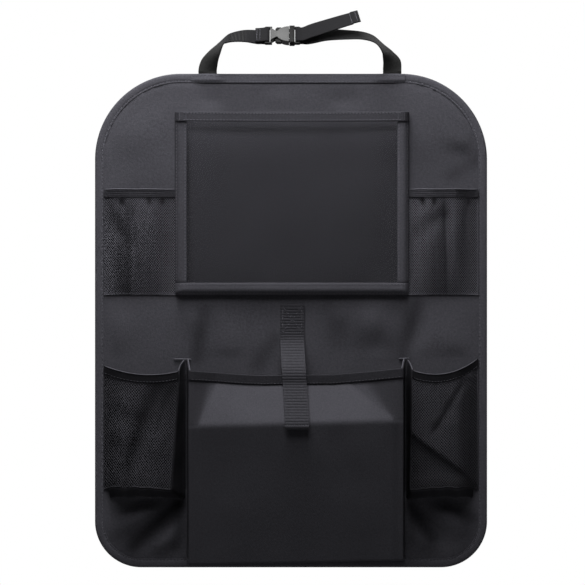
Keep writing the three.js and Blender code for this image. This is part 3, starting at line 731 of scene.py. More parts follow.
def bindingAt(u, v):
    last = len(binding["section"]) - 1
    step = min(int(v * last), last - 1)
    near, far = binding["section"][step : step + 2]
    inset, depth = (mix(a, b, v * last - step) for a, b in zip(near, far))
    place = outlineAt(u, inset)
    front = ease((depth - 2) / 2)
    waves = round(outlineLength / binding["pucker"])
    pucker = 0.18 * math.sin(2 * math.pi * u * waves) * bell(inset - 8.8, 1.6)
    drift = 0.3 * rough(place.x, place.y, 24, 7.0)
    return at(place.x, depth + front * (pucker + drift), place.y)


def buildBinding():
    last = len(binding["section"]) - 1
    names = "edgeBinding", "bindingTape", "binding_tape", "edge_binding"
    grid = (binding["columns"], last)
    piece = sheetOn(bindingAt, grid, names, binding["tape"], 0.2, offset=-1, closed=True)
    seams = [(bindingAt, (0.0, row / last), (1.0, row / last), 0.1) for row in binding["seamRows"]]
    stitches = stitchPiece("bindingStitches", "binding_tape", seams)


band = {"left": -108.5, "right": 123.7, "bottom": 257.4, "top": 267.3, "tape": 0.55, "sink": 1.2}
straps = {
    "width": 20, "tape": 1.3, "leftX": -90.3, "rightX": 109.6, "ribs": 8,
    "ribsFrom": 6.2,  # counted in stations of the left strap
    "ribsTo": 8.3, "ribDepth": 1.0,
    "foldFrom": 21.25,  # counted in stations of the right strap
    "foldDepth": 0.9,
}


def bandAt(u, v):
    x = spanOf(band, u)
    z = mix(band["bottom"], band["top"], v)
    near = min(abs(x - straps["leftX"]), abs(x - straps["rightX"]))
    over = 1 - ease((near - straps["width"] / 2 - 0.5) / 14)
    rise = mix(0.15, straps["tape"] + 0.4, over) * ease(v / 0.36)
    wave = 0.25 * rough(x, z, 14, 11.0) * arch(v)
    sunk = band["sink"] * (1 - rim(u, 14))
    return at(x, skin + 0.1 + rise + abs(wave) - sunk, z)


def buildTopBand():
    names = "topBand", "topBandTape", "binding_tape", "top_band"
    piece = sheetOn(bandAt, (116, 10), names, band["tape"], 0.45)
    seams = [(bandAt, (0.005, v), (0.995, v), band["tape"] + 0.1) for v in (0.13, 0.82)]
    stitches = stitchPiece("topBandStitches", "binding_tape", seams)


buildPanel()
buildBinding()
buildTopBand()
print("panel, binding and top band made")


# Clear window pocket

window = {
    "left": -124.8, "right": 127.0, "top": 226.0, "bottom": 28.8, "border": 12.0, "tape": 1.2, "depth": 5.5,
    "film": 0.5, "filmTuck": 3.5, "stripHeight": 10.5, "bow": 1.6,
}


def windowRise(x, z):
    ramp = window["border"] - window["filmTuck"]
    fromSide = min(x - window["left"], window["right"] - x) / ramp
    fromBottom = (z - window["bottom"]) / ramp
    return min(1 - (1 - hold(fromSide)) ** 3, 1 - (1 - hold(fromBottom)) ** 4.5)


def borderPoint(x, z):
    front = window["depth"] + 0.8 + seam
    drift = 0.35 * rough(x, z, 22, 5.0)
    return at(x, skin + 0.1 + front * windowRise(x, z) + drift * windowRise(x, z), z)


def sideBorder(side):
    edge = window[sides[side].lower()]
    start = window["bottom"] + window["border"] + seam

    def surface(u, v):
        share = counted(side, u)
        return borderPoint(edge - side * share * window["border"], mix(start, window["top"] - 0.4, v))

    return surface


def bottomBorder(u, v):
    x = spanOf(window, u)
    return borderPoint(x, window["bottom"] + v * window["border"])


def topStrip(u, v):
    x = spanOf(window, u)
    z = mix(window["top"] - window["stripHeight"], window["top"], v)
    point = borderPoint(x, z - 1.3 * arch(u) * 0.5)
    lift = window["tape"] + seam + window["bow"] * arch(u)
    point.y -= lift * mm
    return point


def buildWindow():
    pieces, seams = {}, []
    lift = window["tape"] + 0.1
    rows = {name: (sideBorder(side), 12, 46) for side, name in sides.items()}
    rows["Bottom"] = (bottomBorder, 130, 12)
    for side, (surface, *grid) in rows.items():
        cloth = "borderTape" + side.replace("Left", "")
        names = "windowBorder" + side, cloth, "binding_tape", "window_border_" + side.lower()
        pieces[side] = sheetOn(surface, grid, names, window["tape"], 0.4)
        for share in (0.14, 0.86):
            if side == "Bottom":
                seams.append((surface, (0.015, share), (0.985, share), lift))
            else:
                seams.append((surface, (share, 0.01), (share, 0.99), lift))
    names = "windowTopStrip", "stripTape", "binding_tape", "window_border_top"
    top = sheetOn(topStrip, (130, 8), names, window["tape"], 0.4)
    for share in (0.15, 0.85):
        seams.append((topStrip, (0.03, share), (0.97, share), lift))
    for spot in (0.02, 0.045, 0.955, 0.98):  # bar tacks at both ends of the top strip
        seams.append((topStrip, (spot, 0.1), (spot, 0.9), window["tape"] + 0.15, 1.3))
    stitches = stitchPiece("windowStitches", "binding_tape", seams)


def filmAt(u, v):
    inset = window["border"] - window["filmTuck"] + seam
    x = mix(window["left"] + inset, window["right"] - inset, u)
    z = mix(window["bottom"] + inset, window["top"] - window["filmTuck"], v)
    edge = rim(u, 8) * rim(v, 9)
    near = bell(1 - v, 0.05) + 0.7 * bell(v, 0.05)
    crinkle = 1.1 * rough(x, z * 0.7, 13, 2.0) * near * rim(v, 14)
    slow = 0.8 * rough(x, z, 90, 4.0) + 0.25 * rough(x * 1.5, z * 0.4, 50, 8.0)
    return at(x, skin + window["depth"] + 0.1 + slow * edge + crinkle, z)


def buildFilm():
    names = "windowFilm", "clearFilm", "clear_film", "window_film"
    film = sheetOn(filmAt, (150, 120), names, window["film"], 0)


buildWindow()
buildFilm()
print("window pocket made")


# Mesh pockets

up, forward = Vector((0, 0, 1)), Vector((0, -1, 0))
edges = {
    "topWide": 1.2, "topTall": 2.2, "hemWide": 0.9, "hemTall": 2.3, "wide": 1.1, "tall": 1.2,
    "bars": (((-127.6, -41.8), (-107.4, -42.1)), ((116.1, -41.4), (128.7, -40.9))),
    "barWide": 1.5, "barDepth": 1.2,
}
net = {
    "lift": 0.6,
    "upper": {"wide": 2.6, "high": 3.0, "yarn": 0.75, "cloth": "netYarn"},
    "lower": {"wide": 3.1, "high": 3.3, "yarn": 0.9, "cloth": "netYarnLower"},
}


def netOn(name, surface, node, kind, shade):
    wide = runLength(lambda t: surface(t, 0.5)) / mm
    tall = runLength(lambda t: surface(0.5, t)) / mm
    cells = math.ceil(wide / kind["wide"] + tall / kind["high"]) + 1
    bm = bmesh.new()
    bmesh.ops.create_grid(bm, x_segments=cells, y_segments=cells, size=cells / 2)
    bmesh.ops.rotate(bm, verts=bm.verts, cent=(0, 0, 0), matrix=Matrix.Rotation(math.pi / 4, 3, "Z"))
    diagonal = math.sqrt(2)
    scale = (kind["wide"] / wide / diagonal, kind["high"] / tall / diagonal, 1)
    bmesh.ops.scale(bm, vec=scale, verts=bm.verts)
    for outward in ((1, 0, 0), (-1, 0, 0), (0, 1, 0), (0, -1, 0)):
        cutOff(bm, Vector(outward) * 0.5, outward, 0.0005)
    paintShade(bm, shade)
    layOn(bm, surface)
    piece = pieceFrom(bm, name, kind["cloth"], "net", node)
    wires = piece.modifiers.new("yarns", "WIREFRAME")
    wires.thickness = kind["yarn"] * mm
    wires.use_replace = True
    wires.use_even_offset = False
    return piece


upper = {
    "hemTop": 142.0, "hem": 9.0, "hemThickness": 2.0, "bottom": 28.0, "bulge": 14.0, "fold": 6.0,
    "gathers": {-1: (0.265, 0.64, 0.82), 1: (0.2, 0.36, 0.86)},
    "drape": {-1: ((0.0, 0.9), (0.36, 0.56)), 1: ((0.12, 0.66), (0.5, 0.84))},
}


def upperRise(side, u, v):
    foldAt = 0.38 if side < 0 else 0.52
    body = upper["bulge"] * rim(u, 2.7) * math.sin(0.5 * math.pi * v) ** 0.8
    calm = 1 - 0.92 * ease((v - 0.75) / 0.25)
    crease = upper["fold"] * bell(u - foldAt - 0.05 * (1 - v), 0.06) * v * calm
    gather = 0.5 * upper["fold"] * bell(u - foldAt - side * 0.3, 0.05) * v**2 * calm
    away, t = awayFrom(u, v, *upper["drape"][side])
    drape = 2.4 * bell(away, 0.1) * arch(0.15 + 0.7 * t)
    tucks = sum(4.0 * bell(u - spot, 0.03) for spot in upper["gathers"][side]) * v**14
    tucks *= 1 - ease((v - 0.985) / 0.01)
    return max(0.0, body - crease - gather - drape * ease(4 * min(u + 0.05, 1 - u)) - tucks)


def upperShade(side):  # painted shade: darker beside the folds and where the hem gathers the net
    def shade(u, v):
        foldAt = (0.33 if side < 0 else 0.5) + 0.04 * (1 - v)
        beside = (0.45 if side < 0 else 0.2) * ease((foldAt - u) / 0.03) * ease((u - foldAt + 0.3) / 0.25)
        line = 0.4 * bell(u - foldAt, 0.025)
        spots = sum(0.9 * bell(u - spot, 0.035) for spot in upper["gathers"][side]) * ease((v - 0.9) / 0.06)
        away = awayFrom(u, v, *upper["drape"][side])[0]
        return beside * (1 - 0.5 * v) + line + spots + 0.35 * bell(away, 0.08) + 0.15 * (1 - v)

    return shade


def upperPocket(side):
    inner = window[sides[side].lower()] + side * seam
    left, right = sorted((side * sideSeam, inner))
    netTop = upper["hemTop"] - upper["hem"] - seam

    def netAt(u, v):
        z = mix(upper["bottom"], netTop, v)
        return at(mix(left, right, u), skin + net["lift"] + upperRise(side, u, v), z)

    def hemAt(u, v):
        rib = 0.28 * math.cos(2 * math.pi * 4 * v)
        wave = 0.25 * rough(u * 75, v * 3, 8, 21.0 + side)
        z = upper["hemTop"] - upper["hem"] * (1 - v) + 0.8 * rough(u * 75, 0, 22, 3.0)
        return at(mix(left, right, u), skin + 0.2 + upperRise(side, u, 1) + rib + wave, z)

    return netAt, hemAt


def onHem(hemAt, thickness):
    def line(t):
        return hemAt(mix(0.005, 0.995, t), 0.99) + Vector((0, -0.5 * thickness * mm, 0))

    return line


def buildUpperPocket(side):
    name = "Upper" + sides[side]
    node = "upper_" + sides[side].lower()
    netAt, hemAt = upperPocket(side)
    mesh = netOn("mesh" + name, netAt, "mesh_" + node, net["upper"], upperShade(side))
    names = "hem" + name, "upperElastic", "hem_elastic", "hem_" + node
    hem = sheetOn(hemAt, (60, 24), names, upper["hemThickness"] - 0.4, 0.5)
    stitches = stitchPiece("stitches" + name, "hem_elastic", [(netAt, (0.02, 0.015), (0.98, 0.015), 0.4)])
    bm = bmesh.new()
    cordOn(bm, onHem(hemAt, upper["hemThickness"]), edges["topWide"], edges["topTall"], forward, along=60)
    edge = pieceFrom(bm, "edge" + name, "edgeTape", "hem_elastic")


lower = {
    "hemOuter": {-1: -48.5, 1: -40.6},
    "hemInner": {-1: -54.5, 1: -53.1},
    "hemSag": {-1: 6.5, 1: 10.0},
    "hem": 9.0, "hemThickness": 2.0, "bottom": -182.0, "depthTop": 13.0, "depthBottom": 21.0,
    "innerTop": {-1: 121.5, 1: 131.3},
    "innerBottom": {-1: 130.0, 1: 129.0},
    "gussetDrop": 11.0, "fold": 7.0, "hollow": 5.0, "cloth": 1.2,
    "base": {-1: 109.8 + 5.6, 1: 120.4 + 5.6},
    "baseTop": -42.0,
}


def lowerHemTop(side, across):
    sag = lower["hemSag"][side] * arch(across) ** 0.8
    return mix(lower["hemOuter"][side], lower["hemInner"][side], across) - sag


def lowerNetTop(side, across):
    return lowerHemTop(side, across) - lower["hem"] - seam


def lowerBottom(across):
    crumple = 3.4 * rough(across * 80, 0, 21, 90.0) + 1.6 * rough(across * 80, 0, 8, 92.0)
    return lower["bottom"] + 3 * arch(across) + crumple * rim(across, 5)


def foldLines(side, across, v):  # distances to a lower net's long fold, and to the short one under its hem
    if side < 0:
        return across - 0.32 - 0.4 * v, across - 0.62 - 0.3 * v
    return 0.5 * (across + 0.065 - 2.08 * v), 0.72 * (across - 1.17 + 0.97 * v)


def lowerRise(side, across, v):
    profile = ease(across / 0.35) * (1 - 0.15 * ease((across - 0.75) / 0.25))
    body = mix(lower["depthBottom"], lower["depthTop"], v) * profile
    long, short = foldLines(side, across, v)
    if side < 0:
        crease = 0.8 * lower["fold"] * bell(long, 0.11) * math.sqrt(arch(v))
        crease += 0.4 * lower["fold"] * bell(short, 0.07) * ease(2.5 * v - 0.6) * ease(8 * (1 - v))
    else:
        crease = lower["hollow"] * ease((long + 0.02) / 0.06) * ease(6 * v)
        crease += 0.35 * lower["fold"] * bell(short, 0.05) * ease((v - 0.45) / 0.15) * ease(8 * (1 - v))
    return body - crease * profile


def lowerShade(side):  # painted shade: darker along the folds, below the right net's long fold and near the seams
    def shade(u, v):
        across = counted(side, u)
        long, short = foldLines(side, across, v)
        seams = 0.35 * (1 - ease(5 * across)) + 0.4 * (1 - ease(9 * v))
        if side < 0:
            corner = 0.7 * ease((across - 0.62) / 0.3) * ease((v - 0.55) / 0.35)
            return seams + 0.55 * bell(long, 0.1) + corner
        under = 0.45 * ease((long + 0.005) / 0.03)
        return seams + under + 0.3 * bell(short, 0.04) * ease((v - 0.45) / 0.15)

    return shade


def lowerPlace(side, across, v, z, extra=0.0):
    inner = mix(lower["innerBottom"][side], lower["innerTop"][side], v)
    return at(side * mix(sideSeam, inner, across), skin + lowerRise(side, across, v) + extra, z)


def lowerPocket(side):
    def netAt(u, v):
        across = counted(side, u)
        fine = 2.6 * rough(across * 80, v * 130, 24, 31.0 + side) * arch(v) * arch(across)
        tucks = 1.4 * rough(across * 80, 0, 5, 40.0 + side) * v**6 * rim(across, 6)
        z = mix(lowerBottom(across), lowerNetTop(side, across), v)
        return lowerPlace(side, across, v, z, net["lift"] + fine + tucks)

    def hemAt(u, v):
        across = counted(side, u)
        wave = 0.3 * rough(across * 80, v * 9, 12, 50.0 + side)
        return lowerPlace(side, across, 1, lowerHemTop(side, across) - lower["hem"] * (1 - v), 0.2 + wave)

    def gussetAt(u, v):
        turn = 0.55
        run = counted(-side, u)
        down = min(1, run / turn)
        out = max(0, (run - turn) / (1 - turn))
        across = 1 - 0.92 * out
        height = 1 - down
        z = mix(lowerBottom(across), lowerHemTop(side, across) - seam, height)
        share = min(1, (z - lowerBottom(across)) / (lowerNetTop(side, across) - lowerBottom(across)))
        front = lowerPlace(side, across, share, z, -2 * seam)
        footZ = z - lower["gussetDrop"] * down**4 + (lower["baseTop"] - z) * height**8
        foot = at(side * mix(sideSeam, lower["base"][side], across), skin, footZ)
        point = foot.lerp(front, v)
        tuck = lower["cloth"] * arch(v) * (1 + 0.8 * rough(run * 60, v * 4, 6, 60.0 + side))
        point.x += side * tuck * across * mm
        point.z -= 1.2 * arch(v) * out * mm * (1 + rough(run * 90, v * 5, 7, 70.0))
        return point

    return netAt, hemAt, gussetAt


# painted shade across the middle of a lower gusset, between the panel and the net
def foldShade(u, v):
    return 0.6 * ease(3 * arch(v) - 1)


def buildLowerPocket(side):
    name = "Lower" + sides[side]
    node = "lower_" + sides[side].lower()
    netAt, hemAt, gussetAt = lowerPocket(side)
    mesh = netOn("mesh" + name, netAt, "mesh_" + node, net["lower"], lowerShade(side))
    names = "hem" + name, "hemElastic", "hem_elastic", "hem_" + node
    hem = sheetOn(hemAt, (60, 12), names, lower["hemThickness"] - 0.4, 0.5)
    names = "gusset" + name, "lowerGussetInShade", "panel_cloth", "gusset_" + node
    gusset = sheetOn(gussetAt, (90, 10), names, lower["cloth"], shade=foldShade)
    seams = [(hemAt, (0.01, 0.14), (0.99, 0.14), lower["hemThickness"] - 0.3)]
    stitches = stitchPiece("stitches" + name, "hem_elastic", seams, "panelCloth")


for side in sides:
    buildUpperPocket(side)
    buildLowerPocket(side)
print("mesh pockets made")


# Box pocket

box = {
    "left": -109.8, "right": 120.4,
    "hem": {"left": -53.3, "middle": -58.5, "right": -50.7, "width": 10.0, "thickness": 2.0},
    "crease": {"left": -112.3, "right": -106.3},
    "foot": {"left": -261.6, "right": -257.2},
    "depth": {"hem": 25.0, "crease": 44.0, "foot": 32.0},
    "sideDepth": {"hem": 37.5, "crease": 42.4, "foot": 31.0},
    "creaseShare": 0.72, "seamShare": 0.022,
    "facet": {-1: (0.035, 0.07), 1: (0.03, 0.2)},  # share at the crease, and what it gains at the hem
    "cloth": 1.6, "spread": 3.5, "baseTop": -41.2, "baseBottom": -255.5, "pleat": 6.0,
}


def boxTop(across):
    edge = spanOf(box["hem"], across)
    straight = spanOf(box["hem"], 0.5)
    return edge + (box["hem"]["middle"] - straight) * min(1, 1.15 * arch(across))


def boxCrease(across):
    return spanOf(box["crease"], across)


def boxFoot(across):
    return spanOf(box["foot"], across)


def boxInward(across, above):  # 0 at the front's side seams, 1 on its middle
    start, gain = box["facet"][-1 if across < 0.5 else 1]
    return hold((min(across, 1 - across) - box["seamShare"]) / (start + gain * above))


def boxDepth(across, z):  # the sides stand out on the gussets, the middle leans back to the hem
    crease = boxCrease(across)
    above = min(1, (z - crease) / (boxTop(across) - box["hem"]["width"] - crease))
    below = (crease - z) / (crease - boxFoot(across))
    end, share = ("hem", above) if above > 0 else ("foot", below)
    inward = boxInward(across, max(0, above))
    sideDepth = mix(box["sideDepth"]["crease"], box["sideDepth"][end], share)
    return mix(sideDepth, mix(box["depth"]["crease"], box["depth"][end], share), inward)


def boxPoint(across, z, extra=0.0):
    return at(spanOf(box, across), boxDepth(across, z) + extra, z)


def boxFront(u, v):
    crease = box["creaseShare"]
    if v < crease:
        z = mix(boxFoot(u), boxCrease(u), v / crease)
    else:
        z = mix(boxCrease(u), boxTop(u), (v - crease) / (1 - crease))
    soft = 0.5 * rough(u * 230, v * 200, 40, 80.0)
    soft += 0.5 * bell(v - crease, 0.05) * rough(u * 230, 0, 24, 82.0)
    return boxPoint(u, z, soft * rim(u, 7) * rim(v, 7))


def boxShade(u, v):  # painted shade: the front is darker below its crease and beside the middle that leans back
    crease = box["creaseShare"]
    if v < crease:
        return 0.42 * ease((crease + 0.005 - v) / 0.03)
    return 0.5 * ease(2.2 * (1 - boxInward(u, (v - crease) / (1 - crease))))


def boxHem(u, v):
    z = mix(boxTop(u) - box["hem"]["width"], boxTop(u), v)
    wave = 0.2 * rough(u * 230, v * 10, 15, 84.0)
    return boxPoint(u, z, box["cloth"] + 0.3 + wave * arch(u))


def sideGusset(side):
    across = 0 if side < 0 else 1
    edge = spanOf(box, across) - side * box["cloth"]

    def surface(u, v):
        height = counted(-side, u)
        footZ = mix(box["baseBottom"], boxFoot(across) + box["cloth"], v) + seam
        z = mix(footZ, mix(box["baseTop"], boxTop(across), v), height)
        fold = box["pleat"] * arch(v) * ease(4 * min(height + 0.05, 1 - height))
        x = mix(edge + side * box["spread"], edge, v) - side * fold
        depth = mix(skin, boxDepth(across, max(z, boxFoot(across))) - 2 * seam, v)
        return at(x, depth, z)

    return surface


def bottomGusset(u, v):
    spread = box["spread"] * (1 - v)
    depth = mix(skin + seam, boxDepth(u, boxFoot(u)) - 2 * seam, v)
    x = mix(box["left"] - spread, box["right"] + spread, u)
    return at(x, depth, mix(box["baseBottom"], boxFoot(u) + box["cloth"], v))


def buildBoxPocket():
    hemWall = box["hem"]["thickness"] - 0.9
    names = "pocketFront", "boxCloth", "panel_cloth", "pocket_front"
    front = sheetOn(boxFront, (92, 84), names, box["cloth"], 0.5, shade=boxShade)
    hem = sheetOn(boxHem, (92, 8), ("pocketHem", "hemCloth", "hem_elastic", "pocket_hem"), hemWall, 0.4)
    seams = [(boxHem, (0.01, 0.12), (0.99, 0.12), hemWall + 0.1)]
    stitches = stitchPiece("pocketStitches", "panel_cloth", seams, "panelCloth")
    for side, name in sides.items():
        names = "pocketGusset" + name, "boxGussetInShade", "panel_cloth", "pocket_gusset_" + name.lower()
        gusset = sheetOn(sideGusset(side), (60, 12), names, box["cloth"], 0.4)
    names = "pocketGussetBottom", "boxGussetInShade", "panel_cloth", "pocket_gusset_bottom"
    gusset = sheetOn(bottomGusset, (60, 8), names, box["cloth"], 0.4)


def buildEdges():  # light tape along the pockets' open edges, and short bars where they meet the panel
    bm = bmesh.new()
    wide, tall = edges["wide"], edges["tall"]
    for side in sides:
        hemAt, gussetAt = lowerPocket(side)[1:]
        mouthEnd = counted(side, 1)
        cordOn(bm, onHem(hemAt, lower["hemThickness"]), edges["hemWide"], edges["hemTall"], forward, along=60)
        cordOn(bm, lambda t: gussetAt(mouthEnd, t), wide, tall, up, along=24)
        cordOn(bm, lambda t: sideGusset(side)(1 - mouthEnd, t), wide, tall, up, along=24)
    for start, end in edges["bars"]:
        def bar(t):
            return at(mix(start[0], end[0], t), skin + 0.8, mix(start[1], end[1], t))

        cordOn(bm, bar, edges["barWide"], edges["barDepth"], forward, along=12)
    pieceFrom(bm, "pocketEdges", "edgeTape", "hem_elastic")


buildBoxPocket()
buildEdges()
print("box pocket made")


# Closing strap

closure = {
    "width": 26.0, "tape": 1.8, "top": 17.2, "sewn": -15.7, "end": -114.5, "topX": 1.4, "endX": 6.3,
    "patchThickness": 1.2, "patchWidth": 22.0, "patchTop": -76.0, "patchBottom": -104.0,
    "layers": 1.6 + 3 * seam + 2.4,  # the pocket's cloth, three clearances and two patches
    "rib": 3.0,
}


def closureX(z):
    share = ease((closure["sewn"] - z) / (closure["sewn"] - closure["end"]))
    return mix(closure["topX"], closure["endX"], share)


def acrossOf(x):
    return (x - box["left"]) / (box["right"] - box["left"])


middle = acrossOf(closureX(box["crease"]["left"]))
mouth = boxTop(middle)


def closureBare(z):
    if z <= mouth:
        return boxDepth(middle, max(z, closure["end"])) + closure["layers"]
    reach = ease((z - mouth) / (closure["sewn"] - mouth)) ** 0.8
    return mix(boxDepth(middle, mouth) + closure["layers"], skin + 0.15, reach)


def closureDepth(z):
    steps = [closureBare(z + shift) for shift in (-3, -1.5, 0, 1.5, 3)]
    return sum(steps) / len(steps)


def closureAt(u, v):
    z = mix(closure["end"], closure["top"], v)
    rib = 0.75 * (abs(math.sin(math.pi * (z - closure["end"]) / closure["rib"])) ** 0.6 - 1)
    selvedge = rim(u, 9)
    lip = 0.9 * bell(z - closure["end"] - 1.2, 1.3)
    return at(closureX(z) + closure["width"] * (u - 0.5), closureDepth(z) + rib * selvedge + lip, z)


def patchAt(layer, seed):
    def surface(u, v):
        z = mix(closure["patchBottom"], closure["patchTop"], v)
        fuzz = 0.12 * rough(u * 22, v * 28, 1.1, seed)
        x = closureX(z) + closure["patchWidth"] * (u - 0.5)
        return at(x, boxDepth(middle, z) + box["cloth"] + layer + fuzz, z)

    return surface


def buildClosure():
    names = "closureStrap", "closureWebbing", "closure_webbing", "closure_strap"
    strap = sheetOn(closureAt, (12, 310), names, closure["tape"] - 0.3)
    left, right, top, low, hem = 0.1, 0.9, 0.985, 0.775, 0.028
    rows = [  # a crossed square, and a row at the strap's end
        ((left, top), (right, top)),
        ((left, low), (right, low)),
        ((left, low), (left, top)),
        ((right, low), (right, top)),
        ((left, low), (right, top)),
        ((left, top), (right, low)),
        ((0.08, hem), (0.92, hem)),
    ]
    seams = [(closureAt, start, end, closure["tape"] + 0.1, closePitch) for start, end in rows]
    stitches = stitchPiece("closureStitches", "closure_webbing", seams)
    for name, layer in (("loop", seam), ("hook", 2 * seam + closure["patchThickness"])):
        names = name + "Patch", "touchFastener", "touch_fastener", f"closure_{name}_patch"
        surface = patchAt(layer, len(name) + layer)
        patch = sheetOn(surface, (26, 34), names, closure["patchThickness"] - 0.15, 0.2)


buildClosure()
print("closing strap made")


# Hanging strap

buckle = {
    "lean": 40, "depth": 11.0, "height": 308.0, "bar": 3.0, "barLength": 4.0, "socketEnd": -28.5,
    "plugEnd": 10.0,
    "frameEdge": -22.6,  # the darker frame of the socket ends here
}
leanAngle = math.radians(90 - buckle["lean"])
buckleAcross = Vector((0, math.cos(leanAngle), math.sin(leanAngle)))
buckleOut = Vector((0, -math.sin(leanAngle), math.cos(leanAngle)))


def bucklePoint(x, out):
    return Vector((x, -buckle["depth"], buckle["height"])) + buckleOut * out


def widthOf(lean, tilt, sign):
    leanTurn, tiltTurn = math.radians(lean), math.radians(tilt)
    flat = math.cos(tiltTurn)
    return Vector((-math.sin(leanTurn) * flat, math.sin(tiltTurn), math.cos(leanTurn) * flat)) * sign


turnRadius = buckle["bar"] / 2 + seam


def barTurn(centreX, towards, width):
    turn = []
    for degrees in (-90, -45, 0, 45, 90):
        angle = math.radians(degrees)
        x = centreX + towards * turnRadius * math.cos(angle)
        turn.append((bucklePoint(x, turnRadius * math.sin(angle)), width))
    return turn


def curvePoint(points, t):  # a smooth curve through points, spaced by the root of their distances
    last = len(points) - 1
    place = hold(t) * last
    step = min(int(place), last - 1)
    share = place - step
    second, third = points[step], points[step + 1]
    first = points[step - 1] if step > 0 else second * 2 - third
    fourth = points[step + 2] if step + 2 <= last else third * 2 - second
    chords = (second - first, third - second, fourth - third)
    before, gap, after = (chord.length**0.5 for chord in chords)
    gap = gap if gap > 0.01 else 1.0
    before = before if before > 0.01 else gap
    after = after if after > 0.01 else gap
    leave = ((second - first) / before - (third - first) / (before + gap) + (third - second) / gap) * gap
    arrive = ((third - second) / gap - (fourth - second) / (gap + after) + (fourth - third) / after) * gap
    return (
        second
        + leave * share
        + (second * -3 + third * 3 - leave * 2 - arrive) * share**2
        + (second * 2 - third * 2 + leave + arrive) * share**3
    )


def webbingOn(stations, start=0.0, end=1.0, raised=None):
    places = [place for place, width in stations]
    widths = [width for place, width in stations]

    def surface(u, v):
        t = mix(start, end, v)
        across = curvePoint(widths, t).normalized()
        place = curvePoint(places, t)
        ahead = curvePoint(places, min(1, t + 0.002)) - curvePoint(places, max(0, t - 0.002))
        lift = raised(u, t * (len(stations) - 1)) if raised else 0
        outward = across.cross(ahead).normalized() * lift
        return (place + across * straps["width"] * (u - 0.5) + outward) * mm

    return surface


def leftRibs(u, place):  # the webbing is gathered where it turns towards the buckle
    share = (place - straps["ribsFrom"]) / (straps["ribsTo"] - straps["ribsFrom"])
    if not 0 < share < 1:
        return 0.0
    gathered = ease(6 * share) * ease(6 * (1 - share)) * rim(u, 5)
    return straps["ribDepth"] * gathered * abs(math.sin(math.pi * straps["ribs"] * share)) ** 2


def leftShade(u, v):  # painted shade: the run that faces up is darker, apart from the tops of its ribs, which stay lighter as a painted highlight
    place = v * (len(leftStations) - 1)
    return 0.85 * ease((place - 4) / 2) - 0.8 * leftRibs(u, place)


def tailFold(u, place):  # the tail's end is folded and sewn
    return straps["foldDepth"] * ease((place - straps["foldFrom"]) / 0.06)


def strapStart(x):
    front = -(skin + straps["tape"])
    edge = panel["height"] / 2
    flat = widthOf(90, 0, 1)
    return [(Vector((x, front, z)), flat) for z in (edge - 6, edge, edge + 4)]


def stations(rows, sign):  # each row has x, depth, z, lean and tilt
    return [(Vector((x, -depth, z)), widthOf(lean, tilt, sign)) for x, depth, z, lean, tilt in rows]


leftRows = [
    (-88.3, 7.4, 281, 84, 24),
    (-83.7, 10, 289.6, 79, 48),
    (-76.6, 12, 299.3, 76, 71),
    (-70.2, 12, 304.2, 11, 66),
    (-64.7, 11.8, 306.4, 14, 59),
    (-51, 11.2, 308.2, 4, 48),
]
leftStations = [
    *strapStart(straps["leftX"]),
    *stations(leftRows, 1),
    (bucklePoint(-38.3, -1.1), buckleAcross),
    (bucklePoint(-32, -turnRadius + 0.2), buckleAcross),
    *barTurn(buckle["socketEnd"] + buckle["barLength"] - buckle["bar"] / 2, 1, buckleAcross),
    (bucklePoint(-32, turnRadius - 0.9), buckleAcross),
    (bucklePoint(-38.5, 0.3), buckleAcross),
]
runRows = [
    (109.4, 7.4, 281, -86, 17),
    (105, 10.2, 290, -73, 54),
    (98.5, 12, 297.1, -33, 70),
    (91.7, 12, 303.6, 10, 62),
    (85.9, 12, 306.5, 12, 61),
    (76, 12, 308.8, 4, 61),
    (60, 11.4, 309.6, 0, 56),
    (38, 10.4, 309.4, 0, 48),
]
rightRun = strapStart(straps["rightX"]) + stations(runRows, -1)
tailRows = [
    (22, 13.4, 312.6, 6, 40),
    (44, 14, 319.4, 12, 43),
    (62, 14, 324.8, 14, 46),
    (73.9, 14, 327.9, 15, 47),
]
rightTail = [
    (bucklePoint(20, -turnRadius), -buckleAcross),
    (bucklePoint(12, -turnRadius), -buckleAcross),
    *barTurn(buckle["plugEnd"] - buckle["barLength"] + buckle["bar"] / 2, -1, -buckleAcross),
    (bucklePoint(12, turnRadius), -buckleAcross),
    *stations(tailRows, -1),
]


def runShade(u, v):  # painted shade: the right run is darker where it turns up
    return 0.6 * ease(2.5 * v - 1.2)


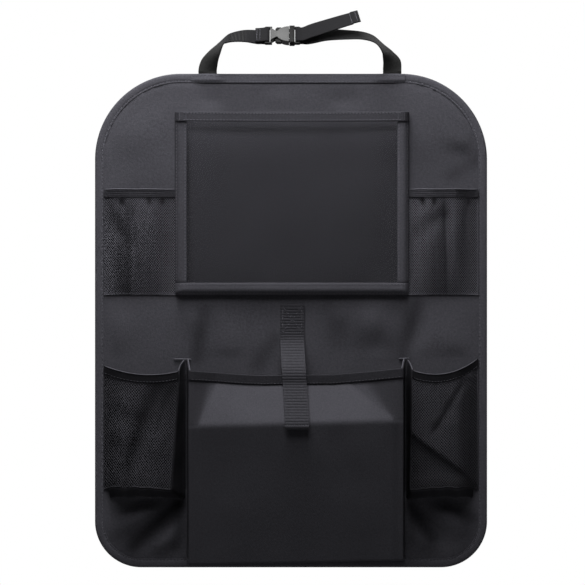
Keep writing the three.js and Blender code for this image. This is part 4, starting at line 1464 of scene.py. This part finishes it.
def buildStraps():
    wall, edge = straps["tape"], 0.35
    left = webbingOn(leftStations, raised=leftRibs)
    sheetOn(left, (8, 420), ("strapLeft", "webbing", "webbing", "strap_left"), wall, edge, shade=leftShade)
    rightStations = rightRun + rightTail
    split = len(rightRun) / (len(rightStations) - 1)
    run = webbingOn(rightStations, 0, split)
    tail = webbingOn(rightStations, split, 1, raised=tailFold)
    names = "strapRight", "webbing", "webbing", "strap_right"
    piece = sheetOn(run, (8, 110), names, wall, edge, body=None, shade=runShade)
    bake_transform(piece)
    names = "strapTail", "webbing", "webbing", "strap_right"
    # painted shade: the tail is darker all over
    sheetOn(tail, (8, 120), names, wall, edge, body="plug", shade=lambda u, v: 0.9)
    for name, surface, rows, body in (
        ("tailStitches", tail, (0.93, 0.975), "plug"),
        ("strapStitches", left, (0.985, 0.955), "organizer"),
    ):
        seams = [(surface, (0.08, v), (0.92, v), wall + 0.1, closePitch) for v in rows]
        stitchPiece(name, "webbing", seams, body=body)


def darkFrame(piece, edge):  # the part of the socket that holds the webbing is darker
    piece.data.materials.append(finishes["framePlastic"])
    for face in piece.data.polygons:
        face.material_index = 1 if face.center.x < edge * mm else 0


moulding = {"merge": 0.01, "flat": 2, "sharp": 40, "rounded": 35}  # millimetres, then degrees


def moulded(node, name, finish, slot, body, edge):
    bm = bmesh.new()
    bm.from_mesh(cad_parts[node].data)
    bmesh.ops.transform(bm, matrix=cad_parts[node].matrix_world, verts=bm.verts)
    bmesh.ops.remove_doubles(bm, verts=bm.verts, dist=moulding["merge"] * mm)
    bmesh.ops.dissolve_limit(bm, angle_limit=math.radians(moulding["flat"]), verts=bm.verts, edges=bm.edges)
    piece = pieceFrom(bm, name, finish, slot, node, body)
    piece.data.set_sharp_from_angle(angle=math.radians(moulding["sharp"]))
    soften(piece, edge, moulding["rounded"])
    return piece


buildStraps()
socket = moulded("buckle_socket", "buckleSocket", "greyPlastic", "grey_plastic", "organizer", 0.3)
darkFrame(socket, buckle["frameEdge"])
moulded("buckle_plug", "bucklePlug", "blackPlastic", "black_plastic", "plug", 0.25)
print("hanging strap and buckle made")
